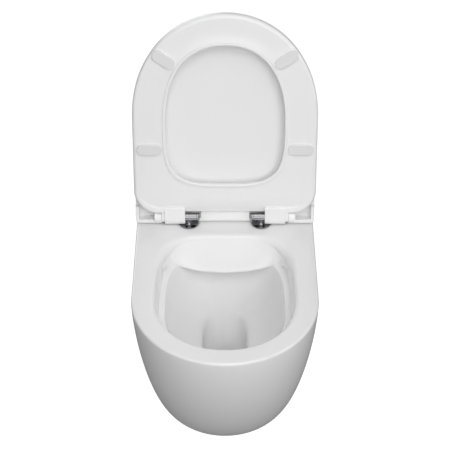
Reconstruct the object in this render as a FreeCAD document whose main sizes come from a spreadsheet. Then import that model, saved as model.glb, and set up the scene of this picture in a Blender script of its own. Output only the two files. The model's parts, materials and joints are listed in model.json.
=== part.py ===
import FreeCAD, Part
import math
import os

import Sketcher
from FreeCAD import Placement, Rotation, Vector

# A wall hung toilet with its seat and lid raised, in millimetres.
# X is across, Z is up and the wall is the plane Y = 0, with the bowl standing out along -Y.
# The origin lies midway between the two fixing holes, on the wall.
# A "reach" is a distance from the wall, and a "depth" is a distance below the deck's top.

SIZES = {
    # the casting's outside
    "bowl_width": 365.0,
    "bowl_projection": 540.0,
    "bowl_height": 345.0,
    "deck_above_fixings": 80.0,
    "nose_ratio": 1.082,  # length of the rounded front for each unit of half width
    "base_width": 213.6,
    "base_projection": 314.2,
    "flank_power": 1.47,
    "flank_roundness": 1.29,
    "keel_power": 1.66,
    "keel_roundness": 1.93,
    "deck_edge_radius": 5.0,
    # the casting's walls
    "casting_wall": 11.0,
    "deck_thickness": 14.0,
    "flange_width": 22.0,
    "flange_depth": 15.0,
    # the bowl's opening
    "opening_width": 276.8,
    "opening_back": 143.8,
    "opening_middle": 338.1,
    "opening_front": 495.1,
    "opening_back_power": 3.7,
    "opening_front_power": 2.11,
    "rim_edge_radius": 6.0,
    # the rimless flushing ledge
    "ledge_depth": 45.0,
    "throat_taper": 8.8,  # how much the opening's wall draws in above the ledge
    "ledge_width": 9.9,
    "ledge_back_width": 5.7,
    # the funnel and the sump below it
    "sump_mouth_depth": 185.0,
    "sump_mouth_width": 90.0,
    "sump_mouth_back": 195.5,
    "sump_mouth_front": 337.0,
    "sump_power": 4.0,
    "sump_back_power": 2.4,
    "funnel_power": 1.5,
    "funnel_roundness": 1.3,
    "funnel_back_power": 1.63,
    "sump_floor_depth": 306.0,
    "sump_floor_width": 50.0,
    "sump_floor_back": 224.0,
    "sump_floor_front": 284.0,
    "sump_slope": 2.2,
    "sump_lap": 12.0,
    "sump_step": 1.5,
    # the flush distributor, a curtain across the back of the bowl
    "curtain_width": 236.0,
    "curtain_lip_reach": 181.5,
    "curtain_lip_depth": 60.0,
    "curtain_end_reach": 175.0,
    "curtain_end_depth": 45.0,
    "curtain_wall": 9.0,
    "curtain_root": 3.0,  # how far the curtain is let into the opening's back edge
    "chamber_width": 208.0,
    "chamber_back": 131.5,
    "chamber_front": 158.0,
    "chamber_top_depth": 17.0,
    # the flush inlet
    "inlet_above_fixings": 35.0,
    "inlet_socket_radius": 27.5,
    "inlet_socket_length": 45.0,
    "inlet_bore_radius": 18.0,
    # the water trap and the outlet
    "outlet_below_fixings": 100.0,
    "trap_bore_radius": 33.0,
    "trap_wall": 9.0,
    "trap_entry_reach": 257.5,
    "trap_entry_depth": 272.0,
    "trap_dip_reach": 195.0,
    "trap_crest_reach": 105.0,
    "trap_crest_depth": 128.0,
    "trap_fall_reach": 43.0,
    "trap_bend_radius": 45.0,
    "spigot_radius": 51.0,
    "spigot_bore_radius": 41.0,
    "spigot_bore_length": 24.0,
    "spigot_length": 34.0,
    "spigot_setback": 1.0,
    # the wall fixing, a bracket on each wall stud with a screw from the flank
    "fixing_spacing": 180.0,
    "wall_stud_hole_radius": 6.5,
    "bracket_width": 40.0,
    "bracket_gauge": 5.0,
    "bracket_length": 80.0,
    "bracket_gap": 3.6,  # between the bracket and the flange round the casting's back
    "bracket_arm_length": 64.0,
    "side_screw_reach": 45.0,
    "side_screw_radius": 4.0,
    "side_screw_head_radius": 6.5,
    "side_screw_head_height": 5.0,
    "side_sleeve_radius": 7.0,
    "side_cap_radius": 10.5,
    "side_cap_height": 2.5,
    "cap_recess_depth": 9.0,
    # the seat's hinge
    "hinge_to_front": 442.5,
    "hinge_above_deck": 17.0,
    "open_angle": 98.0,
    "hinge_stud_spacing": 149.0,
    "hinge_hole_radius": 7.0,
    "hinge_stud_radius": 4.0,
    "hinge_post_radius": 5.0,
    "hinge_stud_length": 42.0,
    "gasket_radius": 23.0,
    "gasket_height": 0.6,
    "rosette_radius": 20.5,
    "rosette_height": 1.0,
    "rosette_boss_radius": 6.6,
    "rosette_boss_height": 4.5,
    "pin_tail": 21.7,  # from the post to the pin's free end
    "pin_collar_length": 5.0,
    "pin_radius": 8.2,
    "pin_neck_radius": 7.7,
    "pin_shoulder": 7.3,  # from the post to where the spindle starts
    "spindle_radius": 4.5,
    "spindle_setback": 1.3,  # of the spindle's end inside the lid's ear
    "plug_bulge_radius": 9.5,
    "plug_length": 40.0,
    "plug_nut_radius": 6.5,
    "plug_nut_height": 6.0,
    # the seat, measured from the hinge axis with the seat closed
    "seat_overhang": 3.0,  # past the casting at each side
    "seat_front_overhang": 1.5,
    "seat_back": 12.0,
    "seat_middle": 226.5,
    "seat_power": 2.05,
    "seat_corner_radius": 50.0,
    "seat_underside": 12.0,  # below the axis
    "seat_top": 9.0,  # above the axis
    "seat_edge_radius": 7.0,
    "seat_ring_width": 65.7,  # from the seat's side in to its opening
    "seat_ring_front_width": 61.8,
    "seat_opening_back": 80.8,
    "seat_opening_middle": 215.0,
    "seat_opening_back_power": 3.7,
    "seat_opening_front_power": 2.3,
    "lip_width": 5.5,
    "lip_height": 3.0,
    "seat_buffer_length": 50.0,
    "seat_buffer_width": 23.0,
    "seat_buffer_edge_radius": 1.2,
    "back_buffer_inset": 30.0,  # from the casting's side to the pad's middle
    "back_buffer_from_axis": 159.0,
    "front_buffer_inset": 62.0,
    "front_buffer_from_front": 91.0,
    "front_buffer_turn": 35.0,
    # the hinge block under the back of the seat
    "block_length": 41.5,
    "block_barrel_radius": 14.5,
    "block_reach": 27.5,
    "block_end_wall": 2.0,
    "block_edge_radius": 2.5,
    "damper_radius": 9.0,
    "lug_width": 6.5,
    "lug_radius": 10.5,
    "lug_root_step": 1.5,  # from the seat's faces in to the lug's root
    # the lid, measured from the hinge axis with the lid closed
    "lid_setback": 1.5,  # inside the seat at each side
    "lid_front_setback": 5.5,
    "lid_inside": 16.0,  # above the axis
    "lid_top": 24.0,
    "lid_skirt_bottom": 11.0,
    "lid_wall": 7.0,
    "lid_edge_radius": 5.0,
    "lid_back": 12.3,  # behind the axis
    "lid_back_skirt_bottom": 6.0,
    "lid_corner_depth": 3.0,  # below the axis, outside the hinges
    "lid_corner_length": 24.0,
    "lid_corner_radius": 6.0,
    "ear_width": 14.1,
    "ear_radius": 11.0,
    "bush_radius": 7.0,
    "lid_buffer_radius": 6.0,
    "lid_buffer_edge_radius": 1.5,
    # fits
    "running_gap": 0.05,  # between a spindle and what turns on it, in radius
    "fixed_gap": 0.05,  # between a fixed piece and its hole, in radius
    "clear_gap": 0.3,  # between neighbours that pass each other
    "end_gap": 0.2,  # between a pin's shoulder and the block that turns beside it
    "resting_gap": 0.2,  # under a buffer before it takes a load
}

SIDES = {"left": -1, "right": 1}
ACROSS = Vector(1, 0, 0)
BACK = Vector(0, 1, 0)
UP = Vector(0, 0, 1)
NOSE_STEPS = 12  # points round the nose of the seat or the lid
OVAL_STEPS = 32  # points on one half of a closed oval
FUNNEL_STEPS = 7  # levels in the funnel
SUMP_STEPS = 5  # levels in the sump
CASTING_STEPS = 10  # levels in the casting's flanks
LEVEL = 1e-4  # how closely an edge's ends have to agree to be at one height
PAST = 1.0  # how far a cut runs on past the face that it opens

doc = FreeCAD.newDocument("WallHungToilet")
sheet = doc.addObject("Spreadsheet::Sheet", "Sizes")
for row, (name, value) in enumerate(SIZES.items(), start=1):
    sheet.set(f"A{row}", name)
    sheet.set(f"B{row}", str(value))
    sheet.setAlias(f"B{row}", name)
doc.recompute()


class Size:
    """A length or an angle, with the spreadsheet formula that gives it."""

    def __init__(self, value, formula):
        self.value = float(value)
        self.formula = formula

    def __add__(self, other):
        other = as_size(other)
        return Size(self.value + other.value, f"({self.formula} + {other.formula})")

    def __sub__(self, other):
        other = as_size(other)
        return Size(self.value - other.value, f"({self.formula} - {other.formula})")

    def __mul__(self, factor):
        return Size(self.value * factor, f"({self.formula} * {factor})")

    def __neg__(self):
        return Size(-self.value, f"(0 - {self.formula})")


def size(name):
    return Size(sheet.get(name), f"Sizes.{name}")


def mm(name):
    return float(sheet.get(name))


def as_size(number):
    return number if isinstance(number, Size) else Size(number, str(number))


HINGE_REACH = size("bowl_projection") - size("hinge_to_front")
DECK = size("deck_above_fixings")
HINGE_HEIGHT = DECK + size("hinge_above_deck")
STUD_OFFSET = size("hinge_stud_spacing") * 0.5
HALF_WIDTH = size("bowl_width") * 0.5

# Where the hinge's pieces begin and end, across from the middle, each from its neighbour.
PIN_END = STUD_OFFSET - size("pin_tail")
SHOULDER = STUD_OFFSET + size("pin_shoulder")
BLOCK_START = SHOULDER + size("end_gap")
BLOCK_END = BLOCK_START + size("block_length")
LUG_START = BLOCK_END + size("clear_gap")
LUG_END = LUG_START + size("lug_width")
EAR_START = LUG_END + size("clear_gap")
EAR_END = EAR_START + size("ear_width")
SPINDLE_END = EAR_END - size("spindle_setback")

# The seat covers the casting, and the lid covers the seat.
SEAT_HALF = HALF_WIDTH + size("seat_overhang")
SEAT_FRONT = size("hinge_to_front") + size("seat_front_overhang")
LID_HALF = SEAT_HALF - size("lid_setback")
LID_FRONT = SEAT_FRONT - size("lid_front_setback")


# ---------------------------------------------------------------- sketches and solids


def place(item, across, back, up, axis=UP, angle=0):
    """Put a sub-part at a point of the toilet, turned about an axis through it."""
    angle = as_size(angle)
    where = [as_size(at) for at in (across, back, up)]
    item.Placement = Placement(Vector(*(at.value for at in where)), Rotation(axis, angle.value or 1))
    for letter, at in zip("xyz", where):
        item.setExpression(f"Placement.Base.{letter}", at.formula)
    item.setExpression("Placement.Rotation.Angle", angle.formula)


def new_sketch(body, name, plane):
    sketch = body.newObject("Sketcher::SketchObject", f"{body.Name}_{name}")
    origin = [item for item in body.Origin.OriginFeatures if item.Role == plane]
    sketch.AttachmentSupport = [(origin[0], "")]
    sketch.MapMode = "FlatFace"
    return sketch


def bound(sketch, *arguments):
    """Add a dimension to a sketch and bind it to its formula."""
    measure = as_size(arguments[-1])
    number = sketch.addConstraint(Sketcher.Constraint(*arguments[:-1], measure.value))
    sketch.setExpression(f"Constraints[{number}]", measure.formula)


def polygon(sketch, corners):
    """A closed outline whose every corner is dimensioned from the sketch's origin."""
    corners = [(as_size(x), as_size(y)) for x, y in corners]
    count = len(corners)
    for at in range(count):
        start, end = corners[at], corners[(at + 1) % count]
        line = Part.LineSegment(
            Vector(start[0].value, start[1].value, 0), Vector(end[0].value, end[1].value, 0)
        )
        sketch.addGeometry(line)
    for at in range(count):
        sketch.addConstraint(Sketcher.Constraint("Coincident", at, 2, (at + 1) % count, 1))
    for at, (x, y) in enumerate(corners):
        bound(sketch, "DistanceX", -1, 1, at, 1, x)
        bound(sketch, "DistanceY", -1, 1, at, 1, y)


def turned(label, profile):
    """A body turned about its own Z axis from (radius, height) corners."""
    body = doc.addObject("PartDesign::Body", label)
    sketch = new_sketch(body, "profile", "XZ_Plane")
    polygon(sketch, profile)
    turn = body.newObject("PartDesign::Revolution", f"{label}_turn")
    turn.Profile = sketch
    turn.ReferenceAxis = (sketch, ["V_Axis"])
    turn.Angle = 360
    sketch.Visibility = False
    doc.recompute()
    return body


def add_pad(body, name, sketch, length):
    pad = body.newObject("PartDesign::Pad", f"{body.Name}_{name}")
    pad.Profile = sketch
    pad.setExpression("Length", as_size(length).formula)
    doc.recompute()
    return pad


def add_pocket(body, name, sketch):
    """Cut a sketch right through a body, both ways."""
    before = body.Shape.Volume
    pocket = body.newObject("PartDesign::Pocket", f"{body.Name}_{name}")
    pocket.Profile = sketch
    pocket.Type = "ThroughAll"
    pocket.Midplane = True
    doc.recompute()
    if body.Shape.Volume >= before:
        raise RuntimeError(f"{body.Label}: {name} cuts nothing")
    return pocket


def circle(sketch, x, y, radius):
    x, y, radius = as_size(x), as_size(y), as_size(radius)
    number = sketch.addGeometry(Part.Circle(Vector(x.value, y.value, 0), UP, radius.value))
    bound(sketch, "DistanceX", -1, 1, number, 3, x)
    bound(sketch, "DistanceY", -1, 1, number, 3, y)
    bound(sketch, "Radius", number, radius)


def round_edges(body, name, edges, radius):
    """Round the named edges of a body's last feature."""
    last = body.Tip
    fillet = body.newObject("PartDesign::Fillet", f"{body.Name}_{name}")
    fillet.Base = (last, edges)
    fillet.setExpression("Radius", as_size(radius).formula)
    doc.recompute()


def at_height(edge, height):
    box = edge.BoundBox
    return abs(box.ZMin - height) < LEVEL and abs(box.ZMax - height) < LEVEL


def edges_at(shape, height):
    """The names of the edges that lie wholly at one height."""
    names = []
    for number, edge in enumerate(shape.Edges, start=1):
        if at_height(edge, height):
            names.append(f"Edge{number}")
    return names


def feature(label, shape):
    """A free-form sub-part that no sketch or primitive describes."""
    item = doc.addObject("Part::Feature", label)
    item.Shape = shape
    return item


# ---------------------------------------------------------------- free-form outlines


def superellipse_arc(half_width, length, power, start, turn, steps=OVAL_STEPS):
    """Points from one end of the width to the other, round a nose that points along -Y."""
    points = []
    for step in range(steps + 1):
        angle = math.pi * step / steps
        across = math.copysign(abs(math.cos(angle)) ** (2 / power), math.cos(angle))
        along = abs(math.sin(angle)) ** (2 / power)
        points.append(Vector(turn * across * half_width, start - turn * along * length, 0))
    return points


def closed_spline(points):
    curve = Part.BSplineCurve()
    curve.interpolate(points, PeriodicFlag=True)
    return curve.toShape()


def nose_spline(points):
    """A curve round a nose, square to the width at both of its ends."""
    tangents, held = [Vector()] * len(points), [False] * len(points)
    tangents[0], tangents[-1] = -BACK, BACK
    held[0] = held[-1] = True
    curve = Part.BSplineCurve()
    curve.interpolate(Points=points, Tangents=tangents, TangentFlags=held, Scale=False)
    return curve.toShape()


def oval(width, back, middle, front, back_power, front_power, height):
    """A closed outline, half one superellipse and half another, between two reaches."""
    half = width / 2
    nose = superellipse_arc(half, front - middle, front_power, -middle, 1)
    heel = superellipse_arc(half, middle - back, back_power, -middle, -1)
    points = nose[:-1] + heel[:-1]
    edge = closed_spline(points)
    edge.translate(Vector(0, 0, height))
    return Part.Wire([edge])


def d_outline(half_width, projection, nose, height, back):
    """The casting's outline: flat on the wall, straight sides and an elliptical front."""
    middle = -(projection - nose)
    right_back = Vector(half_width, -back, height)
    left_back = Vector(-half_width, -back, height)
    right = Vector(half_width, middle, height)
    left = Vector(-half_width, middle, height)
    front = Vector(0, middle - nose, height)
    centre = Vector(0, middle, height)
    if nose >= half_width:
        ellipse = Part.Ellipse(front, right, centre)
    else:
        ellipse = Part.Ellipse(right, front, centre)
    first = ellipse.parameter(left)
    last = ellipse.parameter(right)
    arc = Part.ArcOfEllipse(ellipse, first, last)
    if arc.value((arc.FirstParameter + arc.LastParameter) / 2).y > middle:
        arc = Part.ArcOfEllipse(ellipse, last, first)
    edges = [
        Part.makeLine(right_back, left_back),
        Part.makeLine(left_back, left),
        arc.toShape(),
        Part.makeLine(right, right_back),
    ]
    return Part.Wire(Part.__sortEdges__(edges))


def loft(wires):
    return Part.makeLoft(wires, True, False)


def block(x_low, x_high, y_low, y_high, z_low, z_high):
    corner = Vector(x_low, y_low, z_low)
    return Part.makeBox(x_high - x_low, y_high - y_low, z_high - z_low, corner)


def rod(radius, start, end):
    """A cylinder between two points."""
    return Part.makeCylinder(radius, (end - start).Length, start, end - start)


# ---------------------------------------------------------------- the ceramic casting


def casting_outline(depth, inset):
    """The casting's half width, projection and nose at a depth, all drawn in by an inset."""
    share = min(max(depth / mm("bowl_height"), 0), 1)
    flank = (1 - share ** mm("flank_power")) ** (1 / mm("flank_roundness"))
    keel = (1 - share ** mm("keel_power")) ** (1 / mm("keel_roundness"))
    half_base = mm("base_width") / 2
    half_width = half_base + (mm("bowl_width") / 2 - half_base) * flank
    projection = mm("base_projection") + (mm("bowl_projection") - mm("base_projection")) * keel
    nose = half_width * mm("nose_ratio")
    return half_width - inset, projection - inset, nose - inset


def casting_body(top, bottom, inset, back):
    """A solid with the casting's form between two depths, drawn in by an inset."""
    wires = []
    for step in range(CASTING_STEPS + 1):
        share = (1 - math.cos(math.pi * step / CASTING_STEPS)) / 2
        depth = top + (bottom - top) * share
        form_depth = mm("bowl_height") * share
        half_width, projection, nose = casting_outline(form_depth, inset)
        wires.append(d_outline(half_width, projection, nose, DECK.value - depth, back))
    return loft(wires)


def casting_shell():
    """The skirt, the deck and the flange on the wall, as one hollow casting."""
    wall = mm("casting_wall")
    height = mm("bowl_height")
    width = mm("bowl_width")
    outside = casting_body(0, height, 0, -PAST)
    outside = outside.cut(block(-width, width, 0, 2 * PAST, -height, height))
    deck_edges = []
    for edge in outside.Edges:
        if at_height(edge, DECK.value) and edge.BoundBox.YMin < -PAST:
            deck_edges.append(edge)
    outside = outside.makeFillet(mm("deck_edge_radius"), deck_edges)
    hollow = casting_body(mm("deck_thickness"), height - wall, wall, mm("flange_depth"))
    window = casting_body(
        mm("deck_thickness") + wall, height - mm("flange_width"), mm("flange_width"), -PAST
    )
    window = window.common(
        block(-width, width, -mm("flange_depth") - PAST, 2 * PAST, -height, height)
    )
    return outside.cut(hollow).cut(window)


def throat():
    """The space inside the rim, from above the deck down to the flushing ledge."""
    wires = []
    for draw_in, depth in ((0, -1), (0, 0), (mm("throat_taper"), mm("ledge_depth"))):
        wires.append(
            oval(
                mm("opening_width") - 2 * draw_in,
                mm("opening_back"),
                mm("opening_middle"),
                mm("opening_front") - draw_in,
                mm("opening_back_power"),
                mm("opening_front_power"),
                DECK.value - depth,
            )
        )
    return Part.makeLoft(wires, True, True)


def basin_outline(width, back, front, depth, grow, roundness):
    """The outline of the funnel or the sump, which rounds off at the back with depth."""
    length = mm("opening_front") - mm("opening_back")
    share = (mm("opening_middle") - mm("opening_back")) / length
    back_power = mm("opening_back_power")
    back_power += (mm("sump_back_power") - back_power) * roundness
    return oval(
        width + 2 * grow,
        back - grow,
        back + (front - back) * share,
        front + grow,
        back_power,
        mm("opening_front_power"),
        DECK.value - depth,
    )


def between(start, end, share):
    """A length part of the way from one to another, each given by its name or its value."""
    start = mm(start) if isinstance(start, str) else start
    end = mm(end) if isinstance(end, str) else end
    return start + (end - start) * share


def funnel_outline(share, grow):
    """The funnel's outline: share 0 is at the ledge, 1 is at the sump's mouth."""
    close = 1 - (1 - share ** mm("funnel_power")) ** (1 / mm("funnel_roundness"))
    draw_in = mm("throat_taper") + mm("ledge_width")
    width = between(mm("opening_width") - 2 * draw_in, "sump_mouth_width", close)
    ledge_back = mm("opening_back") + mm("ledge_back_width")
    back = between(ledge_back, "sump_mouth_back", share ** mm("funnel_back_power"))
    front = between(mm("opening_front") - draw_in, "sump_mouth_front", close)
    depth = between("ledge_depth", "sump_mouth_depth", share)
    return basin_outline(width, back, front, depth, grow, share)


def sump_outline(share, grow):
    """The sump's outline: share 0 is at its mouth, 1 is at its floor."""
    close = 1 - math.sqrt(1 - share ** mm("sump_power"))
    slope = share * (1 - close)
    width = between("sump_mouth_width", "sump_floor_width", close)
    back = between("sump_mouth_back", "sump_floor_back", 1 - (1 - share) ** mm("sump_slope"))
    front = between("sump_mouth_front", "sump_floor_front", close + slope / 2)
    depth = between("sump_mouth_depth", "sump_floor_depth", share)
    return basin_outline(width, back, front, depth, grow - mm("sump_step"), 1)


def funnel(grow=0.0):
    shares = [step / FUNNEL_STEPS for step in range(FUNNEL_STEPS + 1)]
    return loft([funnel_outline(share, grow) for share in shares])


def sump(grow=0.0):
    """The well below the funnel, which laps up into it."""
    wires = []
    for step in range(SUMP_STEPS + 1):
        share = math.sin(math.pi / 2 * step / SUMP_STEPS)
        wires.append(sump_outline(share, grow))
    top = wires[0].copy()
    top.translate(UP * mm("sump_lap"))
    return loft(wires).fuse(Part.makeLoft([top, wires[0]], True, True))


def bowl_wall():
    """The back of the funnel's and the sump's walls, one casting wall thicker."""
    wall = mm("casting_wall")
    top = oval(
        mm("opening_width") + 2 * wall,
        mm("opening_back") - wall,
        mm("opening_middle"),
        mm("opening_front") + wall,
        mm("opening_back_power"),
        mm("opening_front_power"),
        DECK.value - mm("deck_thickness") / 2,
    )
    taper = mm("throat_taper")
    ledge = oval(
        mm("opening_width") + 2 * (wall - taper),
        mm("opening_back") - wall,
        mm("opening_middle"),
        mm("opening_front") - taper + wall,
        mm("opening_back_power"),
        mm("opening_front_power"),
        DECK.value - mm("ledge_depth") - wall,
    )
    collar = Part.makeLoft([top, ledge], True, True)
    cup = funnel(wall)
    well = sump(wall + mm("sump_step"))
    well.translate(Vector(0, 0, -wall))
    return collar.fuse([cup, well])


def opening_reach_at(across):
    """The reach of the opening's back edge at a distance across from the middle."""
    share = min(abs(across) / (mm("opening_width") / 2), 1)
    power = mm("opening_back_power")
    length = mm("opening_middle") - mm("opening_back")
    return mm("opening_middle") - length * (1 - share**power) ** (1 / power)


def curtain():
    """The flush distributor: a wall that leans out over the back of the bowl."""
    half = mm("curtain_width") / 2
    wires = []
    for step in range(-4, 5):
        across = half * step / 4
        share = (abs(step) / 4) ** 2
        edge = opening_reach_at(across)
        lip = mm("curtain_lip_reach")
        lip += (mm("curtain_end_reach") - mm("curtain_lip_reach")) * share
        low = mm("curtain_lip_depth")
        low += (mm("curtain_end_depth") - mm("curtain_lip_depth")) * share
        wall, root = mm("curtain_wall"), mm("curtain_root")
        corners = [
            (edge - root, wall - root),
            (lip, low),
            (lip - wall, low),
            (edge - wall - 2 * root, 2 * wall),
        ]
        points = [Vector(across, -reach, DECK.value - depth) for reach, depth in corners]
        wires.append(Part.makePolygon(points + points[:1]))
    return loft(wires)


def chamber(grow=0.0):
    """The hollow behind the curtain, which the flush inlet fills."""
    half = mm("chamber_width") / 2 + grow
    return block(
        -half,
        half,
        -mm("chamber_front") - grow,
        -mm("chamber_back") + grow,
        DECK.value - mm("curtain_lip_depth") - grow,
        DECK.value - mm("chamber_top_depth") + grow,
    )


def rounded_path(corners, radius):
    """A path of straight runs joined by tangent arcs."""
    edges = []
    start = corners[0]
    for before, corner, after in zip(corners, corners[1:], corners[2:]):
        arrive = (corner - before).normalize()
        leave = (after - corner).normalize()
        turn = arrive.getAngle(leave)
        back_off = radius * math.tan(turn / 2)
        first = corner - arrive * back_off
        last = corner + leave * back_off
        inward = (leave - arrive).normalize()
        middle = corner + inward * (radius / math.cos(turn / 2) - radius)
        edges.append(Part.makeLine(start, first))
        edges.append(Part.Arc(first, middle, last).toShape())
        start = last
    edges.append(Part.makeLine(start, corners[-1]))
    return Part.Wire(edges)


def trap(radius):
    """The water trap: back from the sump, up over its crest and down to the outlet."""
    outlet_depth = DECK.value + mm("outlet_below_fixings")
    stops = [
        (mm("trap_entry_reach"), mm("trap_entry_depth")),
        (mm("trap_dip_reach"), mm("trap_entry_depth")),
        (mm("trap_crest_reach"), mm("trap_crest_depth")),
        (mm("trap_fall_reach"), outlet_depth),
        (mm("spigot_setback"), outlet_depth),
    ]
    corners = [Vector(0, -reach, DECK.value - depth) for reach, depth in stops]
    path = rounded_path(corners, mm("trap_bend_radius"))
    section = Part.Wire([Part.makeCircle(radius, corners[0], BACK)])
    return path.makePipeShell([section], True, False)


def opening_edges(solid):
    """The edges of the opening in the deck's top."""
    edges = []
    for edge in solid.Edges:
        box = edge.BoundBox
        inside = box.YMin > -mm("opening_front") - PAST and box.YMax < -HINGE_REACH.value
        if at_height(edge, DECK.value) and inside and box.YLength > mm("deck_thickness"):
            edges.append(edge)
    return edges


def make_ceramic_bowl():
    """The one fired piece: skirt, deck, rim, bowl, trap, inlet and outlet."""
    outlet = Vector(0, -mm("spigot_setback"), -mm("outlet_below_fixings"))
    inlet = Vector(0, 0, mm("inlet_above_fixings"))
    wall = mm("casting_wall")
    inner = bowl_wall().fuse(chamber(wall))
    inner = inner.common(casting_body(0, mm("bowl_height"), 1, 1))
    tube_end = Vector(0, -mm("chamber_back"), mm("inlet_above_fixings"))
    inlet_tube = rod(mm("inlet_socket_radius") + wall, inlet, tube_end)
    trap_tube = trap(mm("trap_bore_radius") + mm("trap_wall"))
    spigot = rod(mm("spigot_radius"), outlet - BACK * mm("spigot_length"), outlet)
    solid = casting_shell()
    for piece in (inner, inlet_tube, trap_tube, spigot):
        solid = solid.fuse(piece)

    socket = rod(
        mm("inlet_socket_radius"),
        inlet - BACK * mm("inlet_socket_length"),
        inlet + BACK,
    )
    inlet_bore = rod(
        mm("inlet_bore_radius"),
        inlet - BACK * (mm("chamber_back") + 2),
        inlet - BACK * (mm("inlet_socket_length") - 1),
    )
    trap_bore = trap(mm("trap_bore_radius"))
    outlet_mouth = rod(
        mm("spigot_bore_radius"), outlet - BACK * mm("spigot_bore_length"), outlet + BACK
    )
    solid = solid.cut(throat())
    solid = solid.makeFillet(mm("rim_edge_radius"), opening_edges(solid))
    for hollow in (funnel(), sump(), chamber(), trap_bore):
        solid = solid.cut(hollow)
    for hollow in (outlet_mouth, socket, inlet_bore):
        solid = solid.cut(hollow)

    solid = solid.fuse(curtain().common(casting_body(0, mm("bowl_height"), 12, 1)))
    for side in SIDES.values():
        stud = Vector(side * STUD_OFFSET.value, -HINGE_REACH.value, 0)
        hole = mm("hinge_hole_radius")
        top = stud + UP * (DECK.value + 1)
        bottom = stud + UP * (DECK.value - 2 * mm("deck_thickness"))
        solid = solid.cut(rod(hole, bottom, top))
        screw = Vector(0, -mm("side_screw_reach"), 0)
        far = screw + ACROSS * side * mm("bowl_width")
        near = screw + ACROSS * side * bracket_edge().value
        solid = solid.cut(rod(mm("side_sleeve_radius") + mm("fixed_gap"), near, far))
        seat = screw + ACROSS * side * cap_seat().value
        solid = solid.cut(rod(mm("side_cap_radius") + mm("fixed_gap"), seat, far))
    return feature("ceramic_bowl", solid.removeSplitter())


def flank():
    """How far across the casting's flank lies, level with the wall fixings."""
    share = "(Sizes.deck_above_fixings / Sizes.bowl_height)"
    curve = f"(1 - {share} ^ Sizes.flank_power) ^ (1 / Sizes.flank_roundness)"
    gain = "(Sizes.bowl_width - Sizes.base_width) / 2"
    formula = f"(Sizes.base_width / 2 + {gain} * {curve})"
    return Size(casting_outline(mm("deck_above_fixings"), 0)[0], formula)


def cap_seat():
    """How far across the flat seat of a side cap's recess lies."""
    return flank() - size("cap_recess_depth")


def bracket_edge():
    """How far across the outer side of a wall bracket lies, inside the casting's flange."""
    return flank() - size("flange_width") - size("bracket_gap")


# ---------------------------------------------------------------- the wall fixings


def make_wall_bracket(side, name):
    """An angle on the wall stud, whose arm takes the side screw."""
    body = doc.addObject("PartDesign::Body", f"wall_bracket_{name}")
    sketch = new_sketch(body, "angle", "XY_Plane")
    outer = bracket_edge()
    inner = outer - size("bracket_length")
    gauge, arm = size("bracket_gauge"), size("bracket_arm_length")
    corners = [
        (inner, 0),
        (outer, 0),
        (outer, -arm),
        (outer - gauge, -arm),
        (outer - gauge, -gauge),
        (inner, -gauge),
    ]
    corners = [(as_size(x) * side, as_size(y)) for x, y in corners]
    polygon(sketch, corners)
    pad = add_pad(body, "pad", sketch, size("bracket_width"))
    pad.Midplane = True
    doc.recompute()
    holes = new_sketch(body, "stud_hole", "XZ_Plane")
    circle(holes, size("fixing_spacing") * (side / 2), 0, size("wall_stud_hole_radius"))
    add_pocket(body, "stud_pocket", holes)
    threads = new_sketch(body, "screw_hole", "YZ_Plane")
    circle(threads, -size("side_screw_reach"), 0, size("side_screw_radius") + size("fixed_gap"))
    add_pocket(body, "screw_pocket", threads)
    place(body, 0, 0, 0)
    return body


def make_side_screw(side, name):
    """The screw that holds the flank to the bracket, its tip past the bracket's arm."""
    seat = cap_seat()
    tip = bracket_edge() - size("bracket_gauge") * 2
    shank, head = size("side_screw_radius"), size("side_screw_head_radius")
    length = seat - tip
    body = turned(
        f"side_screw_{name}",
        [
            (0, 0),
            (shank - 1, 0),
            (shank, 1),
            (shank, length),
            (head, length),
            (head, length + size("side_screw_head_height")),
            (0, length + size("side_screw_head_height")),
        ],
    )
    place(body, tip * side, -size("side_screw_reach"), 0, BACK, 90 * side)
    return body


def make_side_sleeve(side, name):
    """The plastic sleeve between the side screw and the ceramic."""
    start = bracket_edge() + size("fixed_gap")
    end = cap_seat() - size("fixed_gap")
    bore = size("side_screw_radius") + size("fixed_gap")
    outside = size("side_sleeve_radius")
    body = turned(
        f"side_sleeve_{name}",
        [(bore, 0), (outside, 0), (outside, end - start), (bore, end - start)],
    )
    place(body, start * side, -size("side_screw_reach"), 0, BACK, 90 * side)
    return body


def make_side_cap(side, name):
    """The cap over the screw's head, hollow inside and a little domed outside."""
    seat = cap_seat()
    outside, height = size("side_cap_radius"), size("side_cap_height")
    head = size("side_screw_head_height") + size("clear_gap")
    bore = size("side_screw_head_radius") + size("clear_gap")
    body = turned(
        f"side_cap_{name}",
        [
            (bore, 0),
            (outside, 0),
            (outside, head + height * 0.4),
            (outside - height, head + height),
            (0, head + height),
            (0, head),
            (bore, head),
        ],
    )
    place(body, seat * side, -size("side_screw_reach"), 0, BACK, 90 * side)
    return body


def make_inlet_seal():
    """The rubber sleeve in the flush inlet, with a flared mouth."""
    outside = size("inlet_socket_radius") - size("fixed_gap")
    bore = size("inlet_socket_radius") - 5
    length = size("inlet_socket_length") * 0.6
    body = turned(
        "inlet_seal",
        [
            (bore, 0),
            (outside - 1, 0),
            (outside, 2),
            (outside, length),
            (bore + 2, length),
            (bore, length - 3),
        ],
    )
    place(body, 0, -length, size("inlet_above_fixings"), ACROSS, -90)
    return body


# ---------------------------------------------------------------- the hinge's fixed pieces


def make_gasket(side, name):
    bore = size("hinge_post_radius") + size("fixed_gap")
    edge, height = size("gasket_radius"), size("gasket_height")
    body = turned(
        f"hinge_gasket_{name}",
        [(bore, 0), (edge, 0), (edge, height * 0.5), (edge - height, height), (bore, height)],
    )
    place(body, STUD_OFFSET * side, -HINGE_REACH, DECK)
    return body


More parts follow.
